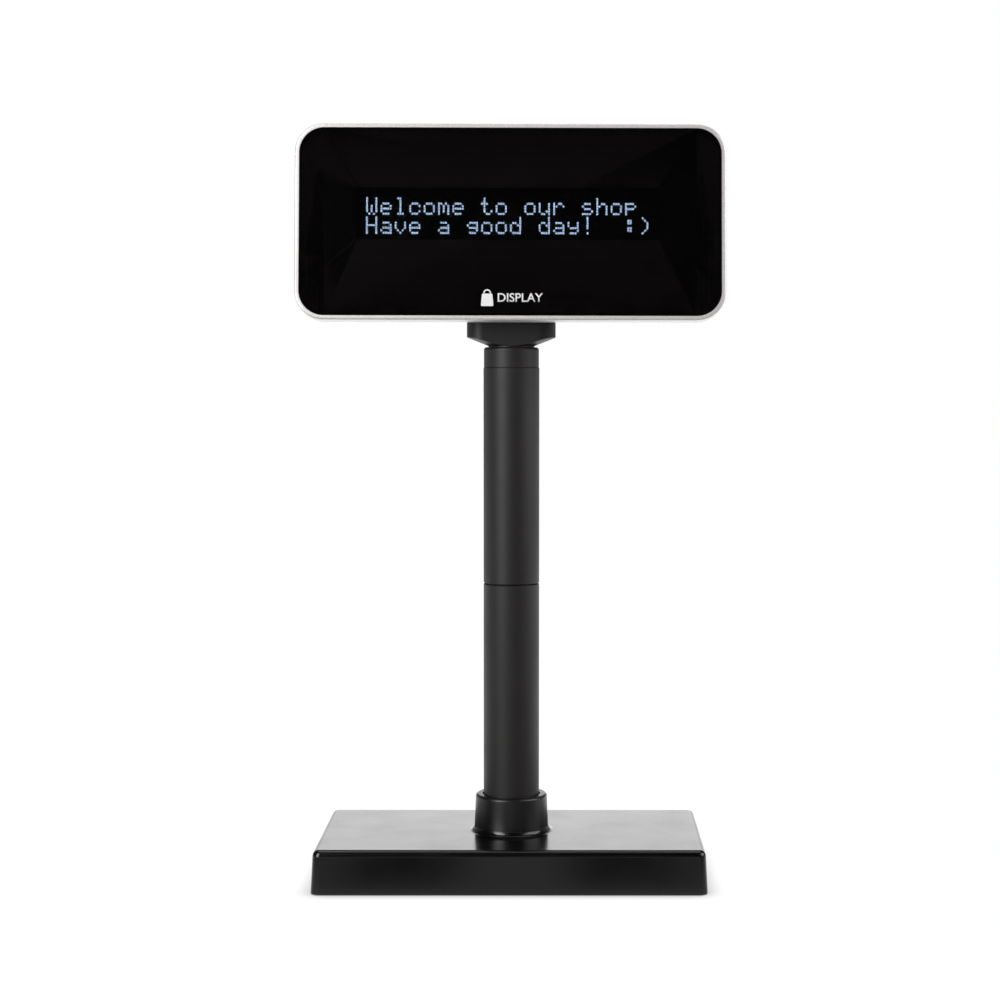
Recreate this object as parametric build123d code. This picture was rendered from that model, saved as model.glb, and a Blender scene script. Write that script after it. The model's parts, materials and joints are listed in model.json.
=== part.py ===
from build123d import *
import os
from math import cos, radians, sin, tan

# Customer pole display: a two-line character display head that pans and tilts on a round pole,
# which stands in a weighted base.
# Frame: millimetres, +Z up, the display faces -Y, origin on the floor under the pole's axis.

# Base: a shallow drafted cover with a boss for the pole, closed by a plate below
BASE_WIDTH = 207.2
BASE_DEPTH = 105.0
BASE_CORNER = 5.0
BASE_LOW = 0.5
BASE_TOP = 23.3
BASE_DRAFT = 3.0
BASE_EDGE = 3.4
BASE_WALL = 2.5
BOSS_LOW_RADIUS = 20.1
BOSS_TOP_RADIUS = 19.2
BOSS_TOP = 43.4
BOSS_BORE = 15.6
BOSS_FLARE = 3.0
BOSS_RIM = 1.4
PLATE_TOP = 3.0
PLATE_GAP = 0.3
FOOT_RADIUS = 7.0
FOOT_TOP = 2.0
FOOT_EDGE = 0.5
FOOT_X = 82.0
FOOT_Y = 35.0
CORNER_SCREW_X = 93.0
CORNER_SCREW_Y = 43.0
SCREW_BOSS = 3.6
CORNER_SCREW_LENGTH = 10.0
BALLAST_SCREW_LENGTH = 7.0
BALLAST_WIDTH = 172.0
BALLAST_DEPTH = 78.0
BALLAST_CORNER = 2.0
BALLAST_TOP = 11.0
BALLAST_HOLE = 28.0
BALLAST_NOTCH_WIDTH = 66.0
BALLAST_NOTCH_FRONT = 22.0
BALLAST_SCREW_X = 62.0
BALLAST_SCREW_Y = 24.0

# Interface board at the back of the base, with the two sockets that take the leads
BOARD_WIDTH = 58.0
BOARD_BACK = 48.6
BOARD_FRONT = 26.0
BOARD_LOW = 4.6
BOARD_THICK = 1.6
BOARD_SCREW_X = 25.0
BOARD_SCREW_Y = 30.0
BOARD_SCREW_LENGTH = 4.0
SOCKET_FACE = 50.8
DATA_X = 11.0
DATA_WIDTH = 16.0
DATA_DEPTH = 17.0
DATA_HEIGHT = 13.2
DATA_MOUTH_WIDTH = 11.8
DATA_MOUTH_HEIGHT = 8.0
DATA_MOUTH_DEPTH = 13.0
DATA_ROOF = 1.6
DATA_LATCH_WIDTH = 6.0
DATA_LATCH_HEIGHT = 1.6
CONTACT_COUNT = 8
CONTACT_PITCH = 1.27
CONTACT_THICK = 0.4
CONTACT_REACH = 8.0
CONTACT_DROP = 1.8
POWER_X = -13.0
POWER_WIDTH = 9.4
POWER_DEPTH = 14.4
POWER_HEIGHT = 11.0
POWER_BORE = 3.2
POWER_PIN = 1.05
POWER_BACK = 3.0
POWER_PIN_RECESS = 1.0
PORT_GAP = 0.4
PLUG_HALF_WIDTH = 6.0
PLUG_DEPTH = 6.8
PLUG_HEIGHT = 9.0

# Pole: two tubes on a hidden coupler, a flange below and a collar on top
TUBE_RADIUS = 15.0
TUBE_BORE = 13.0
TUBE_LOW = 7.6
SEAM_HEIGHT = 158.2
TUBE_TOP = 274.2
SEAM_GAP = 0.25
SEAM_CHAMFER = 0.45
COUPLER_RADIUS = 12.95
COUPLER_BORE = 10.6
COUPLER_REACH = 26.0
COUPLER_CHAMFER = 0.6
TUBE_NOTCH_WIDTH = 10.0
TUBE_NOTCH_TOP = 18.5
FLANGE_RADIUS = 26.0
FLANGE_LOW = 4.6
FLANGE_HUB_TOP = 9.6
FLANGE_SCREW_RADIUS = 21.0
FLANGE_SCREW_LENGTH = 11.0
FLANGE_HEAD_HEIGHT = 1.4
FLANGE_BORE = 8.6
COLLAR_RADIUS = 14.75
COLLAR_TOP = 284.9
COLLAR_SPIGOT_LOW = 250.0
COLLAR_SHOULDER = 266.0
COLLAR_CAVITY = 11.6
COLLAR_EDGE = 1.5

# Swivel: the neck turns in the collar on a hollow stem
STEM_RADIUS = 9.5
STEM_BORE = 4.5
STEM_LOW = 259.0
SWIVEL_FIT = 0.05
NECK_SEAT = 285.15
NECK_SEAT_RADIUS = 12.35
CONE_ANGLE = 21.8
CONE_LOW = 285.5
NECK_WIDTH = 47.4
NECK_DEPTH = 25.4
NECK_CORNER = 9.0
NECK_TOP = 298.4
NECK_EDGE = 0.8
THRUST_WASHER_LOW = 284.0
THRUST_WASHER_TOP = 285.05
CLIP_GROOVE = 8.6
CLIP_LOW = 263.9
CLIP_TOP = 265.1
PAN_LIMIT = 135.0
STOP_TAB_HALF = 20.0
STOP_MARGIN = 2.0
STOP_GAP = 0.4
RIB_GAP = 0.5
WASHER_FIT = 0.1
STEM_GAP = 0.3
CLIP_GAP = 0.5
CLIP_OPENING = 2.5
WAVE_GAP = 0.05

# Tilt hinge: two neck ears between a steel bracket's ears, one shoulder screw on each side
PIVOT_HEIGHT = 313.0
REST_TILT = 6.0
EAR_INSIDE = 11.0
EAR_OUTSIDE = 16.0
EAR_RADIUS = 5.0
PIN_RADIUS = 2.0
PIN_FIT = 0.05
WASHER_THICK = 1.0
WASHER_RADIUS = 5.6
BRACKET_THICK = 2.0
BRACKET_EAR_RADIUS = 6.0
BRACKET_FRONT = 6.5
BRACKET_WIDTH = 38.1
BRACKET_LOW = 5.0
BRACKET_HIGH = 31.0
BRACKET_SCREW_X = 10.0
BRACKET_SCREW_LOW = 11.0
BRACKET_SCREW_HIGH = 25.0
NUT_WIDTH = 7.0
NUT_HEIGHT = 3.2
TILT_HEAD_RADIUS = 3.6
TILT_HEAD_HEIGHT = 2.2
THREAD_BEYOND_NUT = 0.6
BRACKET_SCREW_LENGTH = 5.0

# Head, measured from the tilt pivot: x sideways, y backwards, z up
FACE = -26.7
HEAD_CENTRE = 34.7
HEAD_WIDTH = 226.0
HEAD_HEIGHT = 103.6
HEAD_CORNER = 15.5
BEZEL_DEPTH = 9.5
BEZEL_WALL = 2.3
BEZEL_ROUND = 1.1
LENS_RECESS = 0.15
LENS_THICK = 2.0
LENS_GAP = 0.1
LENS_EDGE = 0.2
MASK_THICK = 0.25
GASKET_THICK = 0.5
GASKET_WIDTH = 4.0
LEDGE_THICK = 1.6
LEDGE_OPENING_WIDTH = 186.0
LEDGE_OPENING_HEIGHT = 66.0
LEDGE_OPENING_CORNER = 6.0
WINDOW_WIDTH = 159.0
WINDOW_HEIGHT = 27.5
WINDOW_CORNER = 1.0
COVER_INSET = 3.2
COVER_BACK = 15.0
COVER_DRAFT = 6.0
COVER_WALL = 2.2
COVER_BACK_EDGE = 6.0
SLOPE_START = 0.0
SLOPE_ANGLE = 30.0
SLOPE_LOW = -11.8
SLOT_HALF_WIDTH = 17.5
SLOT_FRONT = -6.4
SLOT_BACK = 10.8
COVER_SCREW_X = 98.0
COVER_SCREW_HIGH = 38.0
COVER_SCREW_LOW = -26.0
COVER_SEAT = -5.0
BOSS_MEET = -13.0
HEAD_BOSS = 3.5
SCREW_WELL_WALL = 1.2
SCREW_WELL_GAP = 0.5
SLOT_CORNER = 2.0
COVER_SCREW_LENGTH = 13.0
BOARD_POST = 3.0

# Display module: a vacuum fluorescent tube on its driver board
MODULE_X = -1.3
MODULE_Z = 39.0
GLASS_WIDTH = 174.0
GLASS_HEIGHT = 40.0
GLASS_FRONT = -21.6
GLASS_THICK = 2.5
GLASS_SPACE = 2.0
GLASS_SEAL = 2.6
ANODE_THICK = 0.2
COLUMNS = 20
ROWS = 2
COLUMN_PITCH = 7.58
ROW_PITCH = 10.15
CHARACTER_WIDTH = 5.8
CHARACTER_HEIGHT = 9.1
LEAD_COUNT = 30
LEAD_PITCH = 2.54
LEAD_RADIUS = 0.28
LEAD_INSET = 1.5
FLAT_CORNER = 1.0
PCB_WIDTH = 196.0
PCB_HEIGHT = 50.0
PCB_FRONT = -13.0
PCB_SCREW_X = 92.5
PCB_SCREW_Z = 21.0
PCB_SCREW_LENGTH = 8.0
PAD_X = 60.0
PAD_WIDTH = 20.0
PAD_HEIGHT = 12.0
CHIP_SIZE = 12.0
CHIP_THICK = 1.8
CHIP_EDGE = 0.3
CHIP_PLACES = [(-60.0, 47.0), (-60.0, 28.0), (-34.0, 40.0), (52.0, 28.0)]
CAPACITOR_RADIUS = 5.0
CAPACITOR_HEIGHT = 11.5
CAPACITOR_EDGE = 0.8
CAPACITOR_PLACES = [(30.0, 50.0), (43.0, 50.0), (72.0, 50.0)]
COIL_RADIUS = 8.0
COIL_HEIGHT = 8.0
COIL_PLACE = (76.0, 28.0)
COIL_RIM = 1.6
COIL_WAIST = 6.6
HEADER_HALF_WIDTH = 8.0
HEADER_DEPTH = 7.0
HEADER_LOW = 19.5
HEADER_HIGH = 25.5

# Signal cable
CABLE_RADIUS = 2.0
CABLE_FLOOR = 12.0
CABLE_START = 33.0
CABLE_BEND = 12.0
CABLE_SPLIT = 285.0
CABLE_JOINT_GAP = 0.2
CABLE_BALL = 2.3
CABLE_OFFSET = 7.5
CABLE_HEAD_BEND = 6.0

PILOT = 1.5
SMALL_SCREW = 1.5
SMALL_HEAD = 2.8
SMALL_HEAD_HEIGHT = 1.6
SCREW_DOME = 0.45
CROSS_REACH = 0.55
CROSS_WIDTH = 0.35
CROSS_BITE = 0.6
OVERCUT = 1.0
TINY = 0.01


def block(x, y, z):
    """A box given by its low and high limits along each axis."""
    size = Box(x[1] - x[0], y[1] - y[0], z[1] - z[0])
    return Pos((x[0] + x[1]) / 2, (y[0] + y[1]) / 2, (z[0] + z[1]) / 2) * size


def rod(radius, low, high, x=0.0, y=0.0):
    """An upright cylinder between two heights."""
    return Pos(x, y, (low + high) / 2) * Cylinder(radius, high - low)


def pipe(radius, bore, low, high):
    """An upright ring between two heights."""
    return rod(radius, low, high) - rod(bore, low - OVERCUT, high + OVERCUT)


def slab(width, depth, corner, low, high, draft=0.0):
    """A flat rounded plate between two heights."""
    outline = Pos(0, 0, low) * RectangleRounded(width, depth, corner)
    return extrude(outline, high - low, taper=draft)


def panel(width, height, corner, front, back, x=0.0, z=HEAD_CENTRE, draft=0.0):
    """A rounded plate that stands upright and faces -Y, between two depths."""
    plane = Plane((x, front, z), x_dir=(1, 0, 0), z_dir=(0, 1, 0))
    return extrude(plane * RectangleRounded(width, height, corner), back - front, taper=draft)


def peg(radius, front, back, x, z):
    """A cylinder along Y between two depths."""
    return Pos(x, (front + back) / 2, z) * Rot(90, 0, 0) * Cylinder(radius, back - front)


def axle(radius, left, right, y=0.0, z=0.0):
    """A cylinder along X between two side positions."""
    return Pos((left + right) / 2, y, z) * Rot(0, 90, 0) * Cylinder(radius, right - left)


def both_sides(shape):
    """A shape on the +X side and its mirror image."""
    return [shape, mirror(shape, about=Plane.YZ)]


def group(shapes):
    """Separate solids of one kind, kept in one node."""
    solids = []
    for shape in shapes:
        solids.extend(shape.solids())
    return Compound(solids)


def corners(x, y):
    """The four corners of a rectangle about the origin."""
    return [(x, y), (-x, y), (-x, -y), (x, -y)]


def screw(shank, length, head, head_height):
    """A pan-head screw on Z: its shank points up from the head's seat at zero height."""
    cap = rod(head, -head_height, 0)
    cap = fillet(cap.edges().sort_by(Axis.Z)[0], head_height * SCREW_DOME)
    arm = head * CROSS_REACH
    bite = head_height * CROSS_BITE
    recess = Box(2 * arm, arm * CROSS_WIDTH, bite) + Box(arm * CROSS_WIDTH, 2 * arm, bite)
    body = cap + rod(shank, 0, length)
    return body - Pos(0, 0, -head_height + bite / 2 - TINY) * recess


def small_screw(length):
    """The small pan-head screw used throughout."""
    return screw(SMALL_SCREW, length, SMALL_HEAD, SMALL_HEAD_HEIGHT)


def sector(inner, outer, low, high, middle, half):
    """Part of a ring about the pole's axis, between two angles."""
    reach = 2 * outer
    edges = [middle - half, middle, middle + half]
    points = [(0, 0)] + [(reach * cos(radians(a)), reach * sin(radians(a))) for a in edges]
    wedge = extrude(Pos(0, 0, low) * make_face(Polyline(*points, close=True)), high - low)
    return pipe(outer, inner, low, high) & wedge


# ---------------------------------------------------------------- base


def port_holes():
    """Openings in the back wall for the faces of the two sockets."""
    top = BOARD_LOW + BOARD_THICK
    reach = (BASE_DEPTH / 2 - 2 * BASE_WALL, BASE_DEPTH / 2 + OVERCUT)
    holes = []
    for x, width, height in ((DATA_X, DATA_WIDTH, DATA_HEIGHT), (POWER_X, POWER_WIDTH, POWER_HEIGHT)):
        half = width / 2 + PORT_GAP
        holes.append(block((x - half, x + half), reach, (top - PORT_GAP, top + height + PORT_GAP)))
    return holes


def flange_screw_places():
    """Places of the four screws through the pole's flange."""
    return corners(FLANGE_SCREW_RADIUS * cos(radians(45)), FLANGE_SCREW_RADIUS * sin(radians(45)))


def base_cover():
    """The moulded cover of the base, with the boss that the pole enters."""
    outside = slab(BASE_WIDTH, BASE_DEPTH, BASE_CORNER, BASE_LOW, BASE_TOP, BASE_DRAFT)
    outside = fillet(outside.faces().sort_by(Axis.Z)[-1].edges(), BASE_EDGE)
    boss_height = BOSS_TOP - BASE_TOP
    boss = Pos(0, 0, BASE_TOP + boss_height / 2) * Cone(BOSS_LOW_RADIUS, BOSS_TOP_RADIUS, boss_height)
    outside += boss
    foot_of_boss = outside.edges().filter_by(GeomType.CIRCLE).filter_by(
        lambda e: abs(e.center().Z - BASE_TOP) < TINY and abs(e.radius - BOSS_LOW_RADIUS) < TINY)
    outside = fillet(foot_of_boss, BOSS_FLARE)
    outside = fillet(outside.faces().sort_by(Axis.Z)[-1].edges(), BOSS_RIM)
    inside = slab(BASE_WIDTH - 2 * BASE_WALL, BASE_DEPTH - 2 * BASE_WALL, BASE_CORNER - BASE_WALL,
                  BASE_LOW, BASE_TOP - BASE_WALL, BASE_DRAFT)
    shell = outside - inside - rod(BOSS_BORE, 0, BOSS_TOP + OVERCUT)
    ceiling = BASE_TOP - BASE_WALL / 2
    for x, y in corners(CORNER_SCREW_X, CORNER_SCREW_Y):
        shell += rod(SCREW_BOSS, PLATE_TOP, ceiling, x, y)
        shell -= rod(PILOT, PLATE_TOP - OVERCUT, BASE_TOP - BASE_WALL, x, y)
    for x, y in flange_screw_places():
        shell += rod(SCREW_BOSS, TUBE_LOW, ceiling, x, y)
        shell -= rod(PILOT, TUBE_LOW - OVERCUT, BASE_TOP - BASE_WALL, x, y)
    shell -= rod(BOSS_BORE, 0, BOSS_TOP + OVERCUT)
    for hole in port_holes():
        shell -= hole
    return shell


def base_plate():
    """The plate that closes the base, with seats for feet and screws and two posts for the board."""
    width = BASE_WIDTH - 2 * (BASE_WALL + PLATE_GAP)
    depth = BASE_DEPTH - 2 * (BASE_WALL + PLATE_GAP)
    plate = slab(width, depth, BASE_CORNER - BASE_WALL, BASE_LOW, PLATE_TOP, BASE_DRAFT)
    for x, y in corners(FOOT_X, FOOT_Y):
        plate -= rod(FOOT_RADIUS, 0, FOOT_TOP, x, y)
    seat = BASE_LOW + SMALL_HEAD_HEIGHT
    for x, y in corners(CORNER_SCREW_X, CORNER_SCREW_Y) + corners(BALLAST_SCREW_X, BALLAST_SCREW_Y):
        plate -= rod(SMALL_HEAD + PLATE_GAP, 0, seat, x, y)
        plate -= rod(SMALL_SCREW + PLATE_GAP, 0, PLATE_TOP + OVERCUT, x, y)
    for side in (-1, 1):
        plate += rod(SCREW_BOSS, PLATE_TOP - OVERCUT, BOARD_LOW, side * BOARD_SCREW_X, BOARD_SCREW_Y)
        plate -= rod(PILOT, BASE_LOW + OVERCUT, BOARD_LOW + OVERCUT, side * BOARD_SCREW_X, BOARD_SCREW_Y)
    return plate


def base_screws():
    """The four corner screws that hold the plate to the cover."""
    one = Pos(0, 0, BASE_LOW + SMALL_HEAD_HEIGHT) * small_screw(CORNER_SCREW_LENGTH)
    return group([Pos(x, y, 0) * one for x, y in corners(CORNER_SCREW_X, CORNER_SCREW_Y)])


def rubber_feet():
    """Four round feet in the plate."""
    foot = rod(FOOT_RADIUS, 0, FOOT_TOP)
    foot = fillet(foot.edges().sort_by(Axis.Z)[0], FOOT_EDGE)
    return group([Pos(x, y, 0) * foot for x, y in corners(FOOT_X, FOOT_Y)])


def ballast_plate():
    """The steel weight, cut out for the pole's foot and the interface board."""
    plate = slab(BALLAST_WIDTH, BALLAST_DEPTH, BALLAST_CORNER, PLATE_TOP, BALLAST_TOP)
    plate -= rod(BALLAST_HOLE, 0, BASE_TOP)
    half = BALLAST_NOTCH_WIDTH / 2
    plate -= block((-half, half), (BALLAST_NOTCH_FRONT, BALLAST_DEPTH), (0, BASE_TOP))
    for x, y in corners(BALLAST_SCREW_X, BALLAST_SCREW_Y):
        plate -= rod(SMALL_SCREW, 0, BALLAST_TOP + OVERCUT, x, y)
    return plate


def ballast_screws():
    """Four screws that hold the weight on the plate."""
    one = Pos(0, 0, BASE_LOW + SMALL_HEAD_HEIGHT) * small_screw(BALLAST_SCREW_LENGTH)
    return group([Pos(x, y, 0) * one for x, y in corners(BALLAST_SCREW_X, BALLAST_SCREW_Y)])


# ---------------------------------------------------------------- interface board and sockets


def interface_board():
    """The board that carries the two sockets and the cable's header."""
    half = BOARD_WIDTH / 2
    board = block((-half, half), (BOARD_FRONT, BOARD_BACK), (BOARD_LOW, BOARD_LOW + BOARD_THICK))
    for side in (-1, 1):
        board -= rod(SMALL_SCREW + PLATE_GAP, 0, BASE_TOP, side * BOARD_SCREW_X, BOARD_SCREW_Y)
    return board


def interface_screws():
    """Two screws through the board into the plate's posts."""
    one = Pos(0, 0, BOARD_LOW + BOARD_THICK) * Rot(180, 0, 0) * small_screw(BOARD_SCREW_LENGTH)
    return group([Pos(side * BOARD_SCREW_X, BOARD_SCREW_Y, 0) * one for side in (-1, 1)])


def centred(middle, width):
    """Low and high limits of a width about its middle."""
    return (middle - width / 2, middle + width / 2)


def data_socket():
    """An eight-way modular jack: a box with a stepped mouth for the plug and its latch."""
    low = BOARD_LOW + BOARD_THICK
    top = low + DATA_HEIGHT
    body = block(centred(DATA_X, DATA_WIDTH), (SOCKET_FACE - DATA_DEPTH, SOCKET_FACE), (low, top))
    mouth_top = top - DATA_ROOF
    mouth_low = mouth_top - DATA_MOUTH_HEIGHT
    latch_low = mouth_low - DATA_LATCH_HEIGHT
    depth = (SOCKET_FACE - DATA_MOUTH_DEPTH, SOCKET_FACE + OVERCUT)
    body -= block(centred(DATA_X, DATA_MOUTH_WIDTH), depth, (mouth_low, mouth_top))
    body -= block(centred(DATA_X, DATA_LATCH_WIDTH), depth, (latch_low, mouth_low + OVERCUT))
    return body


def socket_contacts():
    """Spring wires that slant down into the data socket's mouth from its roof."""
    roof = BOARD_LOW + BOARD_THICK + DATA_HEIGHT - DATA_ROOF
    back = SOCKET_FACE - DATA_MOUTH_DEPTH
    wires = []
    for index in range(CONTACT_COUNT):
        x = DATA_X + (index - (CONTACT_COUNT - 1) / 2) * CONTACT_PITCH
        side = [(back, roof), (back + CONTACT_REACH, roof), (back, roof - CONTACT_DROP)]
        face = make_face(Plane.YZ * Polyline(*side, close=True))
        wires.append(Pos(x - CONTACT_THICK / 2, 0, 0) * extrude(face, CONTACT_THICK, dir=(1, 0, 0)))
    return group(wires)


def power_jack():
    """The power inlet: a box with a round socket."""
    low = BOARD_LOW + BOARD_THICK
    back = SOCKET_FACE - POWER_DEPTH
    body = block(centred(POWER_X, POWER_WIDTH), (back, SOCKET_FACE), (low, low + POWER_HEIGHT))
    middle = low + POWER_HEIGHT / 2
    return body - peg(POWER_BORE, back + POWER_BACK, SOCKET_FACE + OVERCUT, POWER_X, middle)


def power_pin():
    """The round centre pin of the power inlet."""
    middle = BOARD_LOW + BOARD_THICK + POWER_HEIGHT / 2
    back = SOCKET_FACE - POWER_DEPTH + POWER_BACK
    pin = peg(POWER_PIN, back, SOCKET_FACE - POWER_PIN_RECESS, POWER_X, middle)
    return fillet(pin.edges().sort_by(Axis.Y)[-1], POWER_PIN / 2)


def interface_header():
    """The socket on the interface board that the signal cable plugs into."""
    low = BOARD_LOW + BOARD_THICK
    header = block((-PLUG_HALF_WIDTH, PLUG_HALF_WIDTH), (CABLE_START, CABLE_START + PLUG_DEPTH),
                   (low, low + PLUG_HEIGHT))
    beside_socket = block((DATA_X - DATA_WIDTH / 2 - PLATE_GAP, DATA_X),
                          (SOCKET_FACE - DATA_DEPTH - PLATE_GAP, SOCKET_FACE), (0, BASE_TOP))
    return header - beside_socket


# ---------------------------------------------------------------- pole


def pole_flange():
    """A steel flange under the base cover, with a low hub inside the tube."""
    flange = rod(FLANGE_RADIUS, FLANGE_LOW, TUBE_LOW)
    flange += pipe(COUPLER_RADIUS, COUPLER_BORE, TUBE_LOW - OVERCUT, FLANGE_HUB_TOP)
    flange -= rod(FLANGE_BORE, 0, BASE_TOP)
    for x, y in flange_screw_places():
        flange -= rod(SMALL_SCREW + PLATE_GAP, 0, BASE_TOP, x, y)
    return flange


def flange_screws():
    """Four screws up through the flange into the cover."""
    one = Pos(0, 0, FLANGE_LOW) * screw(SMALL_SCREW, FLANGE_SCREW_LENGTH, SMALL_HEAD, FLANGE_HEAD_HEIGHT)
    return group([Pos(x, y, 0) * one for x, y in flange_screw_places()])


def tube_between(low, high, chamfer_low, chamfer_high):
    """A pole tube between two heights, its outer rims chamfered where they are seen."""
    tube = pipe(TUBE_RADIUS, TUBE_BORE, low, high)
    rims = tube.edges().filter_by(GeomType.CIRCLE).filter_by(lambda e: abs(e.radius - TUBE_RADIUS) < TINY)
    rims = rims.sort_by(Axis.Z)
    chosen = []
    if chamfer_low:
        chosen.append(rims[0])
    if chamfer_high:
        chosen.append(rims[-1])
    return chamfer(chosen, SEAM_CHAMFER)


def lower_tube():
    """The lower pole section, notched at the back of its foot for the cable."""
    tube = tube_between(TUBE_LOW, SEAM_HEIGHT - SEAM_GAP, False, True)
    half = TUBE_NOTCH_WIDTH / 2
    return tube - block((-half, half), (0, 2 * TUBE_RADIUS), (0, TUBE_NOTCH_TOP))


def upper_tube():
    """The upper pole section."""
    return tube_between(SEAM_HEIGHT, TUBE_TOP, True, True)


def tube_coupler():
    """The sleeve that the two tubes push onto, hidden inside them."""
    coupler = pipe(COUPLER_RADIUS, COUPLER_BORE, SEAM_HEIGHT - COUPLER_REACH, SEAM_HEIGHT + COUPLER_REACH)
    circles = coupler.edges().filter_by(GeomType.CIRCLE)
    rims = circles.filter_by(lambda e: abs(e.radius - COUPLER_RADIUS) < TINY)
    return chamfer(rims, COUPLER_CHAMFER)


def pole_top_collar():
    """The fixed half of the swivel: a collar on the tube, with a spigot in it and a stop rib."""
    collar = rod(COLLAR_RADIUS, TUBE_TOP, COLLAR_TOP)
    collar = fillet(collar.edges().sort_by(Axis.Z)[-1], COLLAR_EDGE)
    collar += rod(COUPLER_RADIUS, COLLAR_SPIGOT_LOW, TUBE_TOP)
    collar -= rod(STEM_RADIUS + SWIVEL_FIT, COLLAR_SHOULDER - OVERCUT, COLLAR_TOP + OVERCUT)
    collar -= rod(COLLAR_CAVITY, COLLAR_SPIGOT_LOW - OVERCUT, COLLAR_SHOULDER)
    collar -= rod(NECK_SEAT_RADIUS, THRUST_WASHER_LOW, COLLAR_TOP + OVERCUT)
    stop_half = 180 - PAN_LIMIT - STOP_TAB_HALF - STOP_MARGIN
    stop = sector(STEM_RADIUS + RIB_GAP, COUPLER_RADIUS, COLLAR_SPIGOT_LOW, CLIP_LOW - STOP_GAP, 90,
                  stop_half)
    return collar + stop


def thrust_washer():
    """The ring that the neck turns on, in the top of the collar."""
    return pipe(NECK_SEAT_RADIUS - WASHER_FIT, STEM_RADIUS + STEM_GAP, THRUST_WASHER_LOW, THRUST_WASHER_TOP)


def signal_cable():
    """From the interface board, in through the tube's notch and up the pole's axis."""
    route = FilletPolyline((0, CABLE_START, CABLE_FLOOR), (0, 0, CABLE_FLOOR),
                           (0, 0, CABLE_SPLIT - CABLE_JOINT_GAP), radius=CABLE_BEND)
    section = Plane(route @ 0, z_dir=route % 0) * Circle(CABLE_RADIUS)
    return sweep(section, path=route)


# ---------------------------------------------------------------- swivel


def neck_body():
    """The oblong neck block, cut below by a cone like the chamfer of a nut."""
    body = slab(NECK_WIDTH, NECK_DEPTH, NECK_CORNER, CONE_LOW - OVERCUT, NECK_TOP)
    body = fillet(body.faces().sort_by(Axis.Z)[-1].edges(), NECK_EDGE)
    rise = NECK_TOP - CONE_LOW
    wide = NECK_SEAT_RADIUS + rise / tan(radians(CONE_ANGLE))
    envelope = Pos(0, 0, CONE_LOW + rise / 2) * Cone(NECK_SEAT_RADIUS, wide, rise)
    return body & envelope


def neck_ear():
    """One lug that carries the tilt pin, on the +X side."""
    top = axle(EAR_RADIUS, EAR_INSIDE, EAR_OUTSIDE, 0, PIVOT_HEIGHT)
    stem = block((EAR_INSIDE, EAR_OUTSIDE), (-EAR_RADIUS, EAR_RADIUS), (NECK_TOP - OVERCUT, PIVOT_HEIGHT))
    bore = axle(PIN_RADIUS + PIN_FIT, EAR_INSIDE - OVERCUT, EAR_OUTSIDE + OVERCUT, 0, PIVOT_HEIGHT)
    return top + stem - bore


def swivel_neck():
    """The turning neck: block, hollow stem, stop tab and the two tilt ears."""
    neck = neck_body() + rod(NECK_SEAT_RADIUS, NECK_SEAT, CONE_LOW + TINY)
    neck += rod(STEM_RADIUS, STEM_LOW, NECK_SEAT + OVERCUT)
    for ear in both_sides(neck_ear()):
        neck += ear
    neck += sector(STEM_RADIUS - OVERCUT, COLLAR_CAVITY - STOP_GAP, STEM_LOW, CLIP_LOW - STOP_GAP, -90,
                   STOP_TAB_HALF)
    neck -= pipe(STEM_RADIUS + OVERCUT, CLIP_GROOVE, CLIP_LOW - TINY, CLIP_TOP + TINY)
    return neck - rod(STEM_BORE, STEM_LOW - OVERCUT, NECK_TOP + OVERCUT)


def wave_washer():
    """The spring washer that gives the swivel its friction."""
    low = CLIP_TOP + WAVE_GAP
    return pipe(COLLAR_CAVITY - STEM_GAP, STEM_RADIUS + WASHER_FIT, low, COLLAR_SHOULDER - WASHER_FIT)


def swivel_clip():
    """An open retaining ring in the stem's groove."""
    ring = pipe(COLLAR_CAVITY - CLIP_GAP, CLIP_GROOVE, CLIP_LOW, CLIP_TOP)
    heights = (CLIP_LOW - OVERCUT, CLIP_TOP + OVERCUT)
    return ring - block((-CLIP_OPENING, CLIP_OPENING), (0, 2 * COLLAR_CAVITY), heights)


def neck_cable():
    """The cable's stretch inside the neck; its top is a ball so that it can bend at the tilt axis."""
    ball = PIVOT_HEIGHT - CABLE_BALL
    return rod(CABLE_RADIUS, CABLE_SPLIT + CABLE_JOINT_GAP, ball) + Pos(0, 0, ball) * Sphere(CABLE_RADIUS)


# ---------------------------------------------------------------- head, upright about the pivot


def head_places(high, low):
    """Four screw places on the back of the head."""
    return [(side * COVER_SCREW_X, HEAD_CENTRE + z) for side in (-1, 1) for z in (high, low)]


def lens_width():
    """Width of the opening for the lens."""
    return HEAD_WIDTH - 2 * BEZEL_WALL


def lens_height():
    """Height of the opening for the lens."""
    return HEAD_HEIGHT - 2 * BEZEL_WALL


def depth_stack():
    """Depths of the lens, mask, gasket and ledge, from front to back."""
    lens_front = FACE + LENS_RECESS
    mask_front = lens_front + LENS_THICK
    gasket_front = mask_front + MASK_THICK
    ledge_front = gasket_front + GASKET_THICK
    return lens_front, mask_front, gasket_front, ledge_front


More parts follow.
